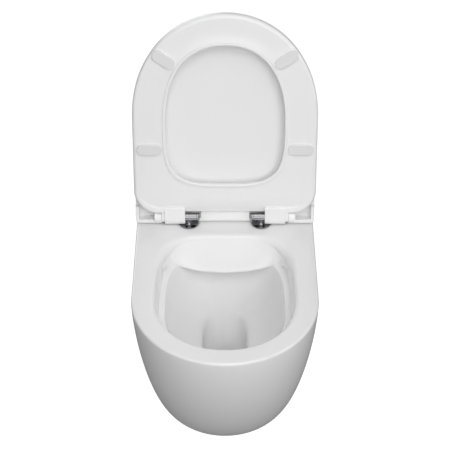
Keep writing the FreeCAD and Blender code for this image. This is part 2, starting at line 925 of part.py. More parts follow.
def make_rosette(side, name):
    """The chrome disc, raised to a boss round the hinge's post."""
    bore = size("hinge_post_radius") + size("fixed_gap")
    edge, height = size("rosette_radius"), size("rosette_height")
    boss, top = size("rosette_boss_radius"), size("rosette_boss_height")
    body = turned(
        f"hinge_rosette_{name}",
        [
            (bore, 0),
            (edge, 0),
            (edge, height * 0.4),
            (edge - height, height),
            (boss + 0.6, height),
            (boss, height + 0.6),
            (boss, top - 0.6),
            (boss - 0.6, top),
            (bore, top),
        ],
    )
    place(body, STUD_OFFSET * side, -HINGE_REACH, DECK + size("gasket_height"))
    return body


def make_stud(side, name):
    """The stud from the plug's nut up through the deck, thicker where it is the post."""
    thread, post = size("hinge_stud_radius"), size("hinge_post_radius")
    deep = size("hinge_stud_length")
    top = deep + size("hinge_above_deck") - size("clear_gap")
    body = turned(
        f"hinge_stud_{name}",
        [
            (0, 0),
            (thread - 0.8, 0),
            (thread, 0.8),
            (thread, deep),
            (post, deep),
            (post, top - 0.5),
            (post - 0.5, top),
            (0, top),
        ],
    )
    place(body, STUD_OFFSET * side, -HINGE_REACH, DECK - deep)
    return body


def make_pin(side, name):
    """The chrome pin across the post, with its collar and the spindle that it ends in."""
    inner, shoulder = PIN_END, SHOULDER
    collar, neck = size("pin_radius"), size("pin_neck_radius")
    spindle = size("spindle_radius")
    ring = size("pin_collar_length")
    end = SPINDLE_END - inner
    body = turned(
        f"hinge_pin_{name}",
        [
            (0, 0),
            (collar - 2.6, 0),
            (collar - 0.8, 0.8),
            (collar, 2.6),
            (collar, ring - 0.5),
            (neck, ring),
            (neck, ring + 0.8),
            (collar, ring + 1.3),
            (collar, shoulder - inner),
            (spindle, shoulder - inner),
            (spindle, end - 1),
            (spindle - 1, end),
            (0, end),
        ],
    )
    socket = new_sketch(body, "post_socket", "YZ_Plane")
    circle(socket, 0, STUD_OFFSET - inner, size("hinge_post_radius") + size("fixed_gap"))
    pocket = add_pocket(body, "post_pocket", socket)
    pocket.Midplane = False
    pocket.Reversed = side > 0
    doc.recompute()
    place(body, inner * side, -HINGE_REACH, HINGE_HEIGHT, BACK, 90 * side)
    return body


def make_plug(side, name):
    """The rubber plug, drawn out under the deck by its nut."""
    bore = size("hinge_stud_radius") + size("fixed_gap")
    neck = size("hinge_hole_radius") - size("fixed_gap")
    bulge, length = size("plug_bulge_radius"), size("plug_length")
    shoulder = length - size("deck_thickness")
    nut = size("plug_nut_radius") + size("fixed_gap")
    nut_height = size("plug_nut_height")
    body = turned(
        f"expansion_plug_{name}",
        [
            (nut, 0),
            (neck, 0),
            (neck, shoulder * 0.3),
            (bulge, shoulder * 0.6),
            (bulge, shoulder * 0.8),
            (neck, shoulder - 0.5),
            (neck, length),
            (bore, length),
            (bore, nut_height),
            (nut, nut_height),
        ],
    )
    place(body, STUD_OFFSET * side, -HINGE_REACH, DECK - length)
    return body


def make_plug_nut(side, name):
    bore = size("hinge_stud_radius") + size("fixed_gap")
    outside, height = size("plug_nut_radius"), size("plug_nut_height")
    body = turned(
        f"plug_nut_{name}",
        [(bore, 0), (outside, 0), (outside, height), (bore, height)],
    )
    place(body, STUD_OFFSET * side, -HINGE_REACH, DECK - size("plug_length"))
    return body


# ---------------------------------------------------------------- the seat

# The seat and the lid are drawn closed, with the hinge axis through the origin and the
# front towards -Y, and are then turned up about that axis.


def raise_up(item):
    place(item, 0, -HINGE_REACH, HINGE_HEIGHT, ACROSS, -size("open_angle"))
    return item


def flap_outline(half, front, back, corner, height):
    """The outline of the seat or the lid: straight sides, round front and back corners."""
    middle, power = mm("seat_middle"), mm("seat_power")
    points = superellipse_arc(half, front - middle, power, -middle, 1, NOSE_STEPS)
    turn = corner * (1 - math.sqrt(0.5))
    edges = [
        nose_spline(points),
        Part.makeLine(Vector(-half, -middle, 0), Vector(-half, -back - corner, 0)),
        Part.Arc(
            Vector(-half, -back - corner, 0),
            Vector(-half + turn, -back - turn, 0),
            Vector(-half + corner, -back, 0),
        ).toShape(),
        Part.makeLine(Vector(-half + corner, -back, 0), Vector(half - corner, -back, 0)),
        Part.Arc(
            Vector(half - corner, -back, 0),
            Vector(half - turn, -back - turn, 0),
            Vector(half, -back - corner, 0),
        ).toShape(),
        Part.makeLine(Vector(half, -back - corner, 0), Vector(half, -middle, 0)),
    ]
    wire = Part.Wire(Part.__sortEdges__(edges))
    wire.translate(Vector(0, 0, height))
    return wire


def prism(wire, height):
    return Part.Face(wire).extrude(UP * height)


def seat_opening(grow, low, high):
    """A prism with the outline of the seat's opening, grown on every side."""
    wire = oval(
        2 * (SEAT_HALF.value - mm("seat_ring_width") + grow),
        mm("seat_opening_back") - grow,
        mm("seat_opening_middle"),
        SEAT_FRONT.value - mm("seat_ring_front_width") + grow,
        mm("seat_opening_back_power"),
        mm("seat_opening_front_power"),
        low,
    )
    return prism(wire, high - low)


def rim_edges(shape, height):
    """The edges that lie wholly at one height of a shape."""
    return [edge for edge in shape.Edges if at_height(edge, height)]


def on_axis(radius, start, end):
    """A cylinder on the hinge axis."""
    return rod(radius, Vector(start, 0, 0), Vector(end, 0, 0))


def both_sides(shape):
    """A solid made for the right side, with its mirror image on the left."""
    return [shape, shape.mirror(Vector(0, 0, 0), ACROSS)]


def make_seat_ring():
    low, high = -mm("seat_underside"), mm("seat_top")
    corner = mm("seat_corner_radius")
    outline = flap_outline(SEAT_HALF.value, SEAT_FRONT.value, mm("seat_back"), corner, low)
    ring = prism(outline, high - low)
    rounded = rim_edges(ring, low) + rim_edges(ring, high)
    ring = ring.makeFillet(mm("seat_edge_radius"), rounded)
    lip = seat_opening(mm("lip_width"), low - mm("lip_height"), low + 1)
    past = mm("seat_buffer_length")
    ring = ring.fuse(lip).cut(seat_opening(0, low - past, high + past))
    gap = mm("clear_gap")
    notch = block(
        BLOCK_START.value - gap,
        BLOCK_END.value + gap,
        -mm("block_reach"),
        0,
        low - 1,
        high + 1,
    )
    lug_start, lug_end = LUG_START.value, LUG_END.value
    lug = on_axis(mm("lug_radius"), lug_start, lug_end)
    root = block(
        lug_start,
        lug_end,
        -mm("seat_back") - mm("seat_edge_radius"),
        0,
        low + mm("lug_root_step"),
        high - mm("lug_root_step"),
    )
    hole = on_axis(mm("spindle_radius") + gap, lug_start - 1, lug_end + 1)
    ring = ring.cut(both_sides(notch))
    ring = ring.fuse(both_sides(lug.fuse(root)))
    ring = ring.cut(both_sides(hole))
    return raise_up(feature("seat_ring", ring.removeSplitter()))


def make_seat_buffer(label, across, from_axis, turn):
    """An oblong pad under the seat, as high as the seat stands off the rim."""
    body = doc.addObject("PartDesign::Body", label)
    sketch = new_sketch(body, "slot", "XY_Plane")
    radius = size("seat_buffer_width") * 0.5
    half = size("seat_buffer_length") * 0.5 - radius
    r, c = radius.value, half.value
    right = Part.ArcOfCircle(Part.Circle(Vector(c, 0, 0), UP, r), -math.pi / 2, math.pi / 2)
    left = Part.ArcOfCircle(Part.Circle(Vector(-c, 0, 0), UP, r), math.pi / 2, 3 * math.pi / 2)
    sketch.addGeometry(right)
    sketch.addGeometry(Part.LineSegment(Vector(c, r, 0), Vector(-c, r, 0)))
    sketch.addGeometry(left)
    sketch.addGeometry(Part.LineSegment(Vector(-c, -r, 0), Vector(c, -r, 0)))
    sketch.addConstraint(Sketcher.Constraint("Tangent", 0, 2, 1, 1))
    sketch.addConstraint(Sketcher.Constraint("Tangent", 1, 2, 2, 1))
    sketch.addConstraint(Sketcher.Constraint("Tangent", 2, 2, 3, 1))
    sketch.addConstraint(Sketcher.Constraint("Tangent", 3, 2, 0, 1))
    bound(sketch, "Radius", 0, radius)
    bound(sketch, "DistanceX", -1, 1, 0, 3, half)
    bound(sketch, "DistanceY", -1, 1, 0, 3, 0)
    bound(sketch, "DistanceX", -1, 1, 2, 3, -half)
    bound(sketch, "DistanceY", -1, 1, 2, 3, 0)
    stand_off = size("hinge_above_deck") - size("seat_underside") - size("resting_gap")
    add_pad(body, "pad", sketch, stand_off)
    round_edges(body, "edge", edges_at(body.Shape, 0), size("seat_buffer_edge_radius"))
    turn_up(body, across, -from_axis, -size("seat_underside") - stand_off, turn)
    return body


def turn_up(item, across, back, up, turn=0):
    """Place a piece that rides on the raised seat or lid, given where it lies when closed."""
    turn = as_size(turn)
    angle = size("open_angle")
    swing = Rotation(ACROSS, -angle.value)
    at = swing.multVec(Vector(across.value, back.value, up.value))
    base = Vector(at.x, at.y - HINGE_REACH.value, at.z + HINGE_HEIGHT.value)
    item.Placement = Placement(base, swing.multiply(Rotation(UP, turn.value)))
    cosine, sine = f"cos({angle.formula} * 1deg)", f"sin({angle.formula} * 1deg)"
    item.setExpression("Placement.Base.x", across.formula)
    item.setExpression(
        "Placement.Base.y",
        f"{back.formula} * {cosine} + {up.formula} * {sine} - {HINGE_REACH.formula}",
    )
    item.setExpression(
        "Placement.Base.z",
        f"{up.formula} * {cosine} - {back.formula} * {sine} + {HINGE_HEIGHT.formula}",
    )


def make_hinge_block(side, name):
    """The white barrel under the back of the seat, which holds the damper."""
    inner, outer = BLOCK_START.value, BLOCK_END.value
    barrel = on_axis(mm("block_barrel_radius"), inner, outer)
    foot = block(
        inner,
        outer,
        -mm("block_reach") + mm("fixed_gap"),
        0,
        -mm("block_barrel_radius"),
        mm("seat_top"),
    )
    solid = barrel.fuse(foot).removeSplitter()
    long_edges = []
    for edge in solid.Edges:
        box = edge.BoundBox
        front = abs(box.YMin + mm("block_reach") - mm("fixed_gap")) < LEVEL
        if front and box.YLength < LEVEL and at_height(edge, -mm("block_barrel_radius")):
            long_edges.append(edge)
    solid = solid.makeFillet(mm("block_edge_radius"), long_edges)
    wall = mm("block_end_wall")
    bore = on_axis(mm("damper_radius") + mm("fixed_gap"), inner + wall, outer - wall)
    hole = on_axis(mm("spindle_radius") + mm("clear_gap"), inner - 1, outer + 1)
    solid = solid.cut([bore, hole])
    if side < 0:
        solid = solid.mirror(Vector(0, 0, 0), ACROSS)
    return raise_up(feature(f"hinge_block_{name}", solid))


def make_sleeve(label, side, outside, start, end, chamfer):
    """A sleeve that turns on a pin's spindle, between two places along the axis."""
    bore = size("spindle_radius") + size("running_gap")
    length = end - start
    body = turned(
        label,
        [
            (bore, 0),
            (outside - chamfer, 0),
            (outside, chamfer),
            (outside, length - chamfer),
            (outside - chamfer, length),
            (bore, length),
        ],
    )
    place(body, start * side, -HINGE_REACH, HINGE_HEIGHT, BACK, 90 * side)
    return body


def make_damper(side, name):
    wall = size("block_end_wall") + size("fixed_gap")
    start = BLOCK_START + wall
    end = BLOCK_END - wall
    return make_sleeve(f"damper_{name}", side, size("damper_radius"), start, end, 1)


# ---------------------------------------------------------------- the lid


def make_lid():
    inside, top = mm("lid_inside"), mm("lid_top")
    wall, back = mm("lid_wall"), mm("lid_back")
    half, front = LID_HALF.value, LID_FRONT.value
    ear_start, ear_end = EAR_START.value, EAR_END.value
    corner = mm("lid_corner_radius")
    outline = flap_outline(half, front, -back, corner, 0)
    outline.translate(UP * mm("lid_skirt_bottom"))
    shell = prism(outline, top - mm("lid_skirt_bottom"))
    shell = shell.makeFillet(mm("lid_edge_radius"), rim_edges(shell, top))
    hollow = flap_outline(half - wall, front - wall, wall - back, 1, 0)
    shell = shell.cut(prism(hollow, inside))
    back_wall = block(
        -half + corner, half - corner, back - wall, back, mm("lid_back_skirt_bottom"), inside
    )
    corner_low = -mm("lid_corner_depth")
    cheek = block(half - wall, half, -mm("lid_corner_length"), back, corner_low, inside)
    cheek = cheek.makeFillet(
        corner,
        [
            edge
            for edge in cheek.Edges
            if edge.BoundBox.YMin > back - LEVEL
            and edge.BoundBox.XMin > half - LEVEL
        ],
    )
    heel = block(ear_start, half - wall, back - wall, back, corner_low, inside)
    ear = on_axis(mm("ear_radius"), ear_start, ear_end)
    web = block(
        ear_start,
        ear_end,
        -mm("ear_radius"),
        back,
        0,
        inside,
    )
    solid = shell.fuse([back_wall] + both_sides(cheek.fuse([heel, ear, web])))
    reach = mm("block_barrel_radius") + 1
    swing = on_axis(reach, PIN_END.value - mm("clear_gap"), ear_start)
    bore = on_axis(mm("bush_radius") + mm("fixed_gap"), ear_start - 1, ear_end + 1)
    solid = solid.cut(both_sides(swing) + both_sides(bore))
    return raise_up(feature("lid", solid.removeSplitter()))


def make_lid_bush(side, name):
    start = EAR_START + size("fixed_gap")
    end = EAR_END - size("fixed_gap")
    return make_sleeve(f"lid_bush_{name}", side, size("bush_radius"), start, end, 0.5)


def make_lid_buffer(label, across, from_axis):
    """A round pad between the lid's inside and the top of the seat."""
    radius, edge = size("lid_buffer_radius"), size("lid_buffer_edge_radius")
    height = size("lid_inside") - size("seat_top") - size("resting_gap")
    body = turned(
        label,
        [(0, 0), (radius - edge, 0), (radius, edge), (radius, height), (0, height)],
    )
    turn_up(body, across, -from_axis, size("lid_inside") - height)
    return body


# ---------------------------------------------------------------- the assembly

pieces = [make_ceramic_bowl(), make_inlet_seal(), make_seat_ring(), make_lid()]
for name, side in SIDES.items():
    pieces += [
        make_wall_bracket(side, name),
        make_side_screw(side, name),
        make_side_sleeve(side, name),
        make_side_cap(side, name),
        make_gasket(side, name),
        make_rosette(side, name),
        make_stud(side, name),
        make_pin(side, name),
        make_plug(side, name),
        make_plug_nut(side, name),
        make_hinge_block(side, name),
        make_damper(side, name),
        make_lid_bush(side, name),
    ]
    spots = {
        "back": (size("back_buffer_inset"), size("back_buffer_from_axis"), as_size(0)),
        "front": (
            size("front_buffer_inset"),
            SEAT_FRONT - size("front_buffer_from_front"),
            size("front_buffer_turn") * -side,
        ),
    }
    for spot, (inset, from_axis, turn) in spots.items():
        across = (HALF_WIDTH - inset) * side
        pieces.append(make_seat_buffer(f"seat_buffer_{spot}_{name}", across, from_axis, turn))
        pieces.append(make_lid_buffer(f"lid_buffer_{spot}_{name}", across, from_axis))
doc.recompute()

for item in doc.Objects:
    if "Invalid" in item.State or "Error" in item.State:
        raise RuntimeError(f"{item.Label} failed: {item.State}")
for piece in pieces:
    if piece.Shape.isNull() or not piece.Shape.isValid():
        raise RuntimeError(f"{piece.Label} has no valid shape")

os.makedirs("parts", exist_ok=True)
for piece in pieces:
    piece.Shape.exportStep(f"parts/{piece.Label}.step")
    box = piece.Shape.BoundBox
    print(
        f"{piece.Label}: {len(piece.Shape.Solids)} solid, {piece.Shape.Volume / 1000:.1f} cm3,"
        f" x {box.XMin:.1f}..{box.XMax:.1f} y {box.YMin:.1f}..{box.YMax:.1f}"
        f" z {box.ZMin:.1f}..{box.ZMax:.1f}"
    )
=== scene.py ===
"""A wall hung toilet with its seat and lid raised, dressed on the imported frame.

Lengths are written in millimetres and turned into metres as each mesh is made. Only the camera,
the floor, the lights and the materials are in metres. A reach is a distance from the wall, a
depth is a distance below the deck's top, and seat and lid points are (x, s, w): across, forward
of the hinge axis and above it, with the seat closed.
"""

import json
import math

import bmesh
import bpy
import numpy as np
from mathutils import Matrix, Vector


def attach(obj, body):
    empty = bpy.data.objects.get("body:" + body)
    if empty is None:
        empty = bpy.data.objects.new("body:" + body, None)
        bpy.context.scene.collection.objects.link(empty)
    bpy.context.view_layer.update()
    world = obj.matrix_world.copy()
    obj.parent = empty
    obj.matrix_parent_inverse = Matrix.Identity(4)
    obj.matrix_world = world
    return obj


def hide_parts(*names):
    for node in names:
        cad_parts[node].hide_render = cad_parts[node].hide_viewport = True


MM = 0.001
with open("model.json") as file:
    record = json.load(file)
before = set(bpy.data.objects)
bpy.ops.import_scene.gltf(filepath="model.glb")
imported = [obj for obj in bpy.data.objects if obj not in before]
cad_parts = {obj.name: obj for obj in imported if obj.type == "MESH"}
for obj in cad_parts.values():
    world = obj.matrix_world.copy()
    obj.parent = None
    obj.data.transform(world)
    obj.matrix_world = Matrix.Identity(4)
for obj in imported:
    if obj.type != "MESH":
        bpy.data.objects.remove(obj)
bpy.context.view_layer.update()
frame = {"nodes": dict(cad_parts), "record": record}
nodes = frame["nodes"]
scene = bpy.context.scene
scene.view_settings.view_transform = "Standard"


# ---------------------------------------------------------------- camera, floor and light

SENSOR, LENS, CLIP_END = 36.0, 125.83, 50.0
CAMERA_PLACE = (0.0, -2.7322, 1.9903)
CAMERA_TILT = 54  # degrees up from straight down
FLOOR_SIZE, FLOOR_HEIGHT = 9.0, -0.75
MIDST = (0, -0.25, 0.1)  # where the lights aim


def add_camera():
    data = bpy.data.cameras.new("camera")
    data.sensor_width = SENSOR
    data.lens = LENS
    data.clip_end = CLIP_END
    camera = bpy.data.objects.new("camera", data)
    camera.location = CAMERA_PLACE
    camera.rotation_euler = (math.radians(CAMERA_TILT), 0.0, 0.0)
    scene.collection.objects.link(camera)
    scene.camera = camera


def add_node(tree, kind, values=None):
    """A shader node, with some of its inputs set."""
    node = tree.nodes.new(kind)
    for name, value in (values or {}).items():
        node.inputs[name].default_value = value
    return node


def pick_shader(tree, factor, one, two, output):
    """Send one shader to the output, or the other where the factor is 1."""
    pick = add_node(tree, "ShaderNodeMixShader")
    for source, socket in zip((factor, one.outputs[0], two.outputs[0]), pick.inputs):
        tree.links.new(source, socket)
    tree.links.new(pick.outputs[0], output.inputs[0])


def new_material(name):
    material = bpy.data.materials.new(name)
    material.use_nodes = True
    tree = material.node_tree
    tree.nodes.clear()
    return material, tree, add_node(tree, "ShaderNodeOutputMaterial")


def add_floor():
    """A floor that the camera sees as pale, and that throws only a little light up."""
    size = FLOOR_SIZE
    corners = [(-size, -size), (size, -size), (size, size), (-size, size)]
    mesh = bpy.data.meshes.new("floor")
    mesh.from_pydata([(x, y, FLOOR_HEIGHT) for x, y in corners], [], [(0, 1, 2, 3)])
    floor = bpy.data.objects.new("floor", mesh)
    scene.collection.objects.link(floor)
    material, tree, output = new_material("floor")
    link = tree.links.new
    dim = add_node(tree, "ShaderNodeBsdfDiffuse", {"Color": (0.3, 0.3, 0.3, 1)})
    lit = add_node(tree, "ShaderNodeBsdfDiffuse", {"Color": (0.5, 0.5, 0.5, 1)})
    glow = add_node(tree, "ShaderNodeEmission", {"Strength": 0.75})
    both = add_node(tree, "ShaderNodeAddShader")
    rays = add_node(tree, "ShaderNodeLightPath")
    seen = add_node(tree, "ShaderNodeMath")
    seen.operation = "MAXIMUM"
    link(lit.outputs[0], both.inputs[0])
    link(glow.outputs[0], both.inputs[1])
    link(rays.outputs["Is Camera Ray"], seen.inputs[0])
    link(rays.outputs["Is Transmission Ray"], seen.inputs[1])
    pick_shader(tree, seen.outputs[0], dim, both, output)
    mesh.materials.append(material)


def add_area(name, place, size, power, target=MIDST, glossy=True):
    """A soft light, which may be left out of reflections."""
    data = bpy.data.lights.new(name, "AREA")
    data.shape = "RECTANGLE"
    data.size, data.size_y = size
    data.energy = power
    light = bpy.data.objects.new(name, data)
    light.location = place
    aim = Vector(target) - Vector(place)
    light.rotation_euler = aim.to_track_quat("-Z", "Y").to_euler()
    light.visible_glossy = glossy
    scene.collection.objects.link(light)


def add_world():
    """White to the camera, and round the object a grey that is a little paler above."""
    world = bpy.data.worlds.new("world")
    scene.world = world
    world.use_nodes = True
    tree = world.node_tree
    tree.nodes.clear()
    link = tree.links.new
    output = add_node(tree, "ShaderNodeOutputWorld")
    place = add_node(tree, "ShaderNodeTexCoord")
    split = add_node(tree, "ShaderNodeSeparateXYZ")
    levels = {"From Min": -0.6, "From Max": 0.9, "To Min": 0.4, "To Max": 0.5}
    ramp = add_node(tree, "ShaderNodeMapRange", levels)
    around = add_node(tree, "ShaderNodeBackground")
    seen = add_node(tree, "ShaderNodeBackground", {"Color": (1, 1, 1, 1)})
    rays = add_node(tree, "ShaderNodeLightPath")
    link(place.outputs["Generated"], split.inputs[0])
    link(split.outputs["Z"], ramp.inputs["Value"])
    link(ramp.outputs[0], around.inputs["Strength"])
    pick_shader(tree, rays.outputs["Is Camera Ray"], around, seen, output)


# ---------------------------------------------------------------- materials

CLOUD_SCALE, CLOUD_DETAIL = 12.0, 3.0
GRAIN_DETAIL = 2.0
COAT_ROUGHNESS = 0.03
SCATTER_RADIUS = (0.004, 0.004, 0.004)


def surface(name, colour, roughness, vary, bump=None, metallic=0.0, coat=0.0,
            stretch=(1, 1, 1), gloss_vary=0.0, scatter=0.0):
    """A Principled material with a little variation in colour, gloss and height.

    The colour varies by a share, and a bump is its height and the scale of its grain.
    """
    material, tree, output = new_material(name)
    link = tree.links.new
    shader = add_node(tree, "ShaderNodeBsdfPrincipled", {
        "Metallic": metallic,
        "Roughness": roughness,
        "Coat Weight": coat,
        "Coat Roughness": COAT_ROUGHNESS,
    })
    if scatter:
        shader.inputs["Subsurface Weight"].default_value = scatter
        shader.inputs["Subsurface Radius"].default_value = SCATTER_RADIUS
    link(shader.outputs[0], output.inputs[0])
    place = add_node(tree, "ShaderNodeTexCoord")
    mapping = add_node(tree, "ShaderNodeMapping", {"Scale": stretch})
    link(place.outputs["Object"], mapping.inputs[0])
    noise = {"Scale": CLOUD_SCALE, "Detail": CLOUD_DETAIL}
    clouds = add_node(tree, "ShaderNodeTexNoise", noise)
    link(mapping.outputs[0], clouds.inputs["Vector"])
    tint = add_node(tree, "ShaderNodeMapRange", {"To Min": 1 - vary, "To Max": 1 + vary})
    link(clouds.outputs["Fac"], tint.inputs["Value"])
    colours = add_node(tree, "ShaderNodeMix")
    colours.data_type = "RGBA"
    colours.blend_type = "MULTIPLY"
    share, base, factor = colours.inputs[0], colours.inputs[6], colours.inputs[7]
    share.default_value = 1.0
    base.default_value = (*colour, 1)
    link(tint.outputs[0], factor)
    link(colours.outputs[2], shader.inputs["Base Color"])
    if gloss_vary:
        span = {"To Min": max(roughness - gloss_vary, 0.0), "To Max": roughness + gloss_vary}
        gloss = add_node(tree, "ShaderNodeMapRange", span)
        link(clouds.outputs["Fac"], gloss.inputs["Value"])
        link(gloss.outputs[0], shader.inputs["Roughness"])
    if bump:
        height, scale = bump
        noise = {"Scale": scale, "Detail": GRAIN_DETAIL}
        grain = add_node(tree, "ShaderNodeTexNoise", noise)
        link(mapping.outputs[0], grain.inputs["Vector"])
        relief = add_node(tree, "ShaderNodeBump", {"Strength": 1.0, "Distance": height})
        link(grain.outputs["Fac"], relief.inputs["Height"])
        link(relief.outputs[0], shader.inputs["Normal"])
    return material


SLOTS = {
    "ceramic": surface("glaze", (0.86, 0.86, 0.86), 0.2, 0.006, (0.00004, 9.0), coat=0.3),
    "duroplast": surface("duroplast", (0.9, 0.9, 0.9), 0.3, 0.006, (0.00002, 60.0)),
    "buffer": surface("pad", (0.8, 0.8, 0.8), 0.42, 0.01, (0.00003, 400.0), scatter=0.2),
    "chrome": surface(
        "chrome", (0.42, 0.42, 0.43), 0.06, 0.01, metallic=1.0, gloss_vary=0.02
    ),
    "steel": surface(
        "steel", (0.55, 0.55, 0.56), 0.34, 0.06, (0.00003, 300.0), metallic=1.0,
        stretch=(1, 1, 20), gloss_vary=0.08,
    ),
    "gasket": surface("gasket", (0.62, 0.62, 0.62), 0.4, 0.01),
    "rubber": surface("rubber", (0.03, 0.03, 0.03), 0.6, 0.1, (0.00005, 500.0)),
    "plastic": surface("plastic", (0.8, 0.8, 0.8), 0.36, 0.01, (0.00002, 200.0)),
}
GLAZE, DUROPLAST = SLOTS["ceramic"], SLOTS["duroplast"]


def dress_nodes():
    """Give every CAD node the material of its slot."""
    for part in frame["record"]["subparts"]:
        materials = nodes[part["node"]].data.materials
        materials.clear()
        materials.append(SLOTS[part["material_slot"]])


# ---------------------------------------------------------------- mesh helpers

WELD, SLIVER = 0.00002, 0.00001  # metres


class Form:
    """Points, in millimetres, and faces gathered for one piece."""

    def __init__(self):
        self.points = []
        self.faces = []

    def row(self, points):
        """Add points, and return their numbers."""
        first = len(self.points)
        self.points.extend(tuple(point) for point in points)
        return list(range(first, len(self.points)))

    def strip(self, one, two, closed=True):
        """Join two rows of as many points with a strip of faces."""
        count = len(one)
        for at in range(count if closed else count - 1):
            to = (at + 1) % count
            self.faces.append((one[at], one[to], two[to], two[at]))

    def skin(self, rows, closed=True):
        """Join each row to the next."""
        for one, two in zip(rows, rows[1:]):
            self.strip(one, two, closed)

    def loop(self, rows):
        """Join each row to the next, and the last to the first."""
        self.skin(rows + rows[:1])

    def rod(self, rows):
        """Join each row to the next, and close both ends with a flat face."""
        self.skin(rows)
        self.faces += [tuple(rows[0]), tuple(rows[-1])]

    def cross(self, row):
        """Fill a symmetrical row by joining its left points to its right points."""
        last = len(row) - 1
        for at in range(len(row) // 2):
            corners = [row[at], row[at + 1], row[last - at - 1], row[last - at]]
            corners = tuple(dict.fromkeys(corners))
            if len(corners) > 2:
                self.faces.append(corners)

    def piece(self, name, material, sharp=30.0):
        """A smooth-shaded object, with the edges that turn by more than an angle kept sharp."""
        mesh = bpy.data.meshes.new(name)
        points = [tuple(c * MM for c in point) for point in self.points]
        mesh.from_pydata(points, [], self.faces)
        mesh.materials.append(material)
        piece = bpy.data.objects.new(name, mesh)
        scene.collection.objects.link(piece)
        settle(piece, sharp)
        return piece


def settle(piece, sharp=30.0):
    """Weld a mesh, turn its faces outward, shade it smooth and mark its sharp edges."""
    form = bmesh.new()
    form.from_mesh(piece.data)
    bmesh.ops.remove_doubles(form, verts=form.verts, dist=WELD)
    bmesh.ops.dissolve_degenerate(form, edges=form.edges, dist=SLIVER)
    bmesh.ops.recalc_face_normals(form, faces=form.faces)
    limit = math.radians(sharp)
    for edge in form.edges:
        edge.smooth = len(edge.link_faces) != 2 or edge.calc_face_angle(0.0) < limit
    for face in form.faces:
        face.smooth = True
    form.to_mesh(piece.data)
    form.free()


def combine(piece, tool, operation):
    """Add a closed tool to a piece or cut it away, and drop the tool."""
    change = piece.modifiers.new("combine", "BOOLEAN")
    change.object = tool
    change.operation = operation
    change.solver = "EXACT"
    graph = bpy.context.evaluated_depsgraph_get()
    result = bpy.data.meshes.new_from_object(piece.evaluated_get(graph))
    piece.modifiers.clear()
    piece.data = result
    bpy.data.objects.remove(tool)
    settle(piece)


def full_turn(steps):
    """The angles of a circle in equal steps."""
    return [2 * math.pi * step / steps for step in range(steps)]


def quarter(steps, first=0):
    """The angles of a quarter of a circle in equal steps, with both ends."""
    return [math.pi / 2 * step / steps for step in range(first, steps + 1)]


def rods(name, places, steps=64):
    """Closed cylinders, each from (radius, start, end), as one tool."""
    form = Form()
    for radius, start, end in places:
        start, end = Vector(start), Vector(end)
        along = (end - start).normalized()
        side = along.orthogonal().normalized()
        other = along.cross(side)
        rings = []
        for centre in (start, end):
            ring = []
            for angle in full_turn(steps):
                ring.append(centre + radius * (math.cos(angle) * side + math.sin(angle) * other))
            rings.append(form.row(ring))
        form.rod(rings)
    return form.piece(name, GLAZE)


def smooth_step(value, low=0.0, high=1.0):
    """From 0 to 1 with no corner at either end."""
    share = min(max((value - low) / (high - low), 0.0), 1.0)
    return share * share * (3 - 2 * share)


def mix(one, two, share):
    """A value at a share of the way from one to another."""
    return one + (two - one) * share


def between(one, two, share):
    """A place on the way from one to another, in plan."""
    return mix(one[0], two[0], share), mix(one[1], two[1], share)


def oval_radius(across, along, half, length, power):
    """How far a superellipse reaches from its middle in a direction."""
    return (abs(across / half) ** power + abs(along / length) ** power) ** (-1 / power)


def slopes_of(places, values):
    """The slopes at which a curve passes its values with no overshoot."""
    pairs = list(zip(places, values))
    steps = [(b - a) / (q - p) for (p, a), (q, b) in zip(pairs, pairs[1:])]
    slopes = [steps[0]]
    for before, after in zip(steps, steps[1:]):
        slopes.append(0.0 if before * after <= 0 else 2 * before * after / (before + after))
    return slopes + [steps[-1]]


def curve_through(table, at):
    """Values between the rows of a table of (place, value, ...), with no overshoot."""
    places = [row[0] for row in table]
    at = min(max(at, places[0]), places[-1])
    number = max(i for i, place in enumerate(places) if place <= at)
    number = min(number, len(places) - 2)
    span = places[number + 1] - places[number]
    t = (at - places[number]) / span
    result = []
    for column in range(1, len(table[0])):
        values = [row[column] for row in table]
        slopes = slopes_of(places, values)
        result.append(
            (2 * t**3 - 3 * t**2 + 1) * values[number]
            + (t**3 - 2 * t**2 + t) * span * slopes[number]
            + (3 * t**2 - 2 * t**3) * values[number + 1]
            + (t**3 - t**2) * span * slopes[number + 1]
        )
    return result


# ---------------------------------------------------------------- the casting's sizes

DECK = 80.0  # height of the deck's top
HINGE = 97.5  # reach of the hinge axis
BOWL_HEIGHT = 345.0
DECK_EDGE, UNDER_EDGE = 5.0, 4.0  # rounding of the deck's outer edge, outside and inside
SKIN, DECK_UNDER, FLOOR_UNDER = 11.0, 14.0, 334.0  # the skirt's wall; depths inside it
FLANGE, FLANGE_DEPTH = 22.0, 15.0  # the frame at the wall: its width and how deep it goes
SIDE_STEPS, NOSE_STEPS, BACK_STEPS, FLANK_STEPS, EDGE_STEPS = 28, 112, 56, 34, 6
EDGE_CLEAR = 2  # between the deck's edge and the flank's last row

# the outside at its foot, how much it gains up to the deck, and the powers of the curve between
HALF_WIDTH = (106.8, 75.7, 1.47, 1.29)
PROJECTION = (314.2, 225.8, 1.66, 1.93)
NOSE_LENGTH = 1.082  # of the half width

MIDDLE = 338.1  # reach of the opening's widest place
OPENING_HALF, OPENING_BACK, OPENING_FRONT, OPENING_POWER = 138.4, 143.8, 495.1, 3.7
FRONT_POWER = 2.11  # of the opening's and the basin's front halves
# the rim's inner rounding, what it gains at the back, and the sines between which it gains it
RIM_EDGE, RIM_GAIN, RIM_SPAN = 7.0, 5.0, (0.45, 0.85)
TAPER, LEDGE_DEPTH = 8.8, 45.0  # how far the wall draws in on its way to the flushing ledge
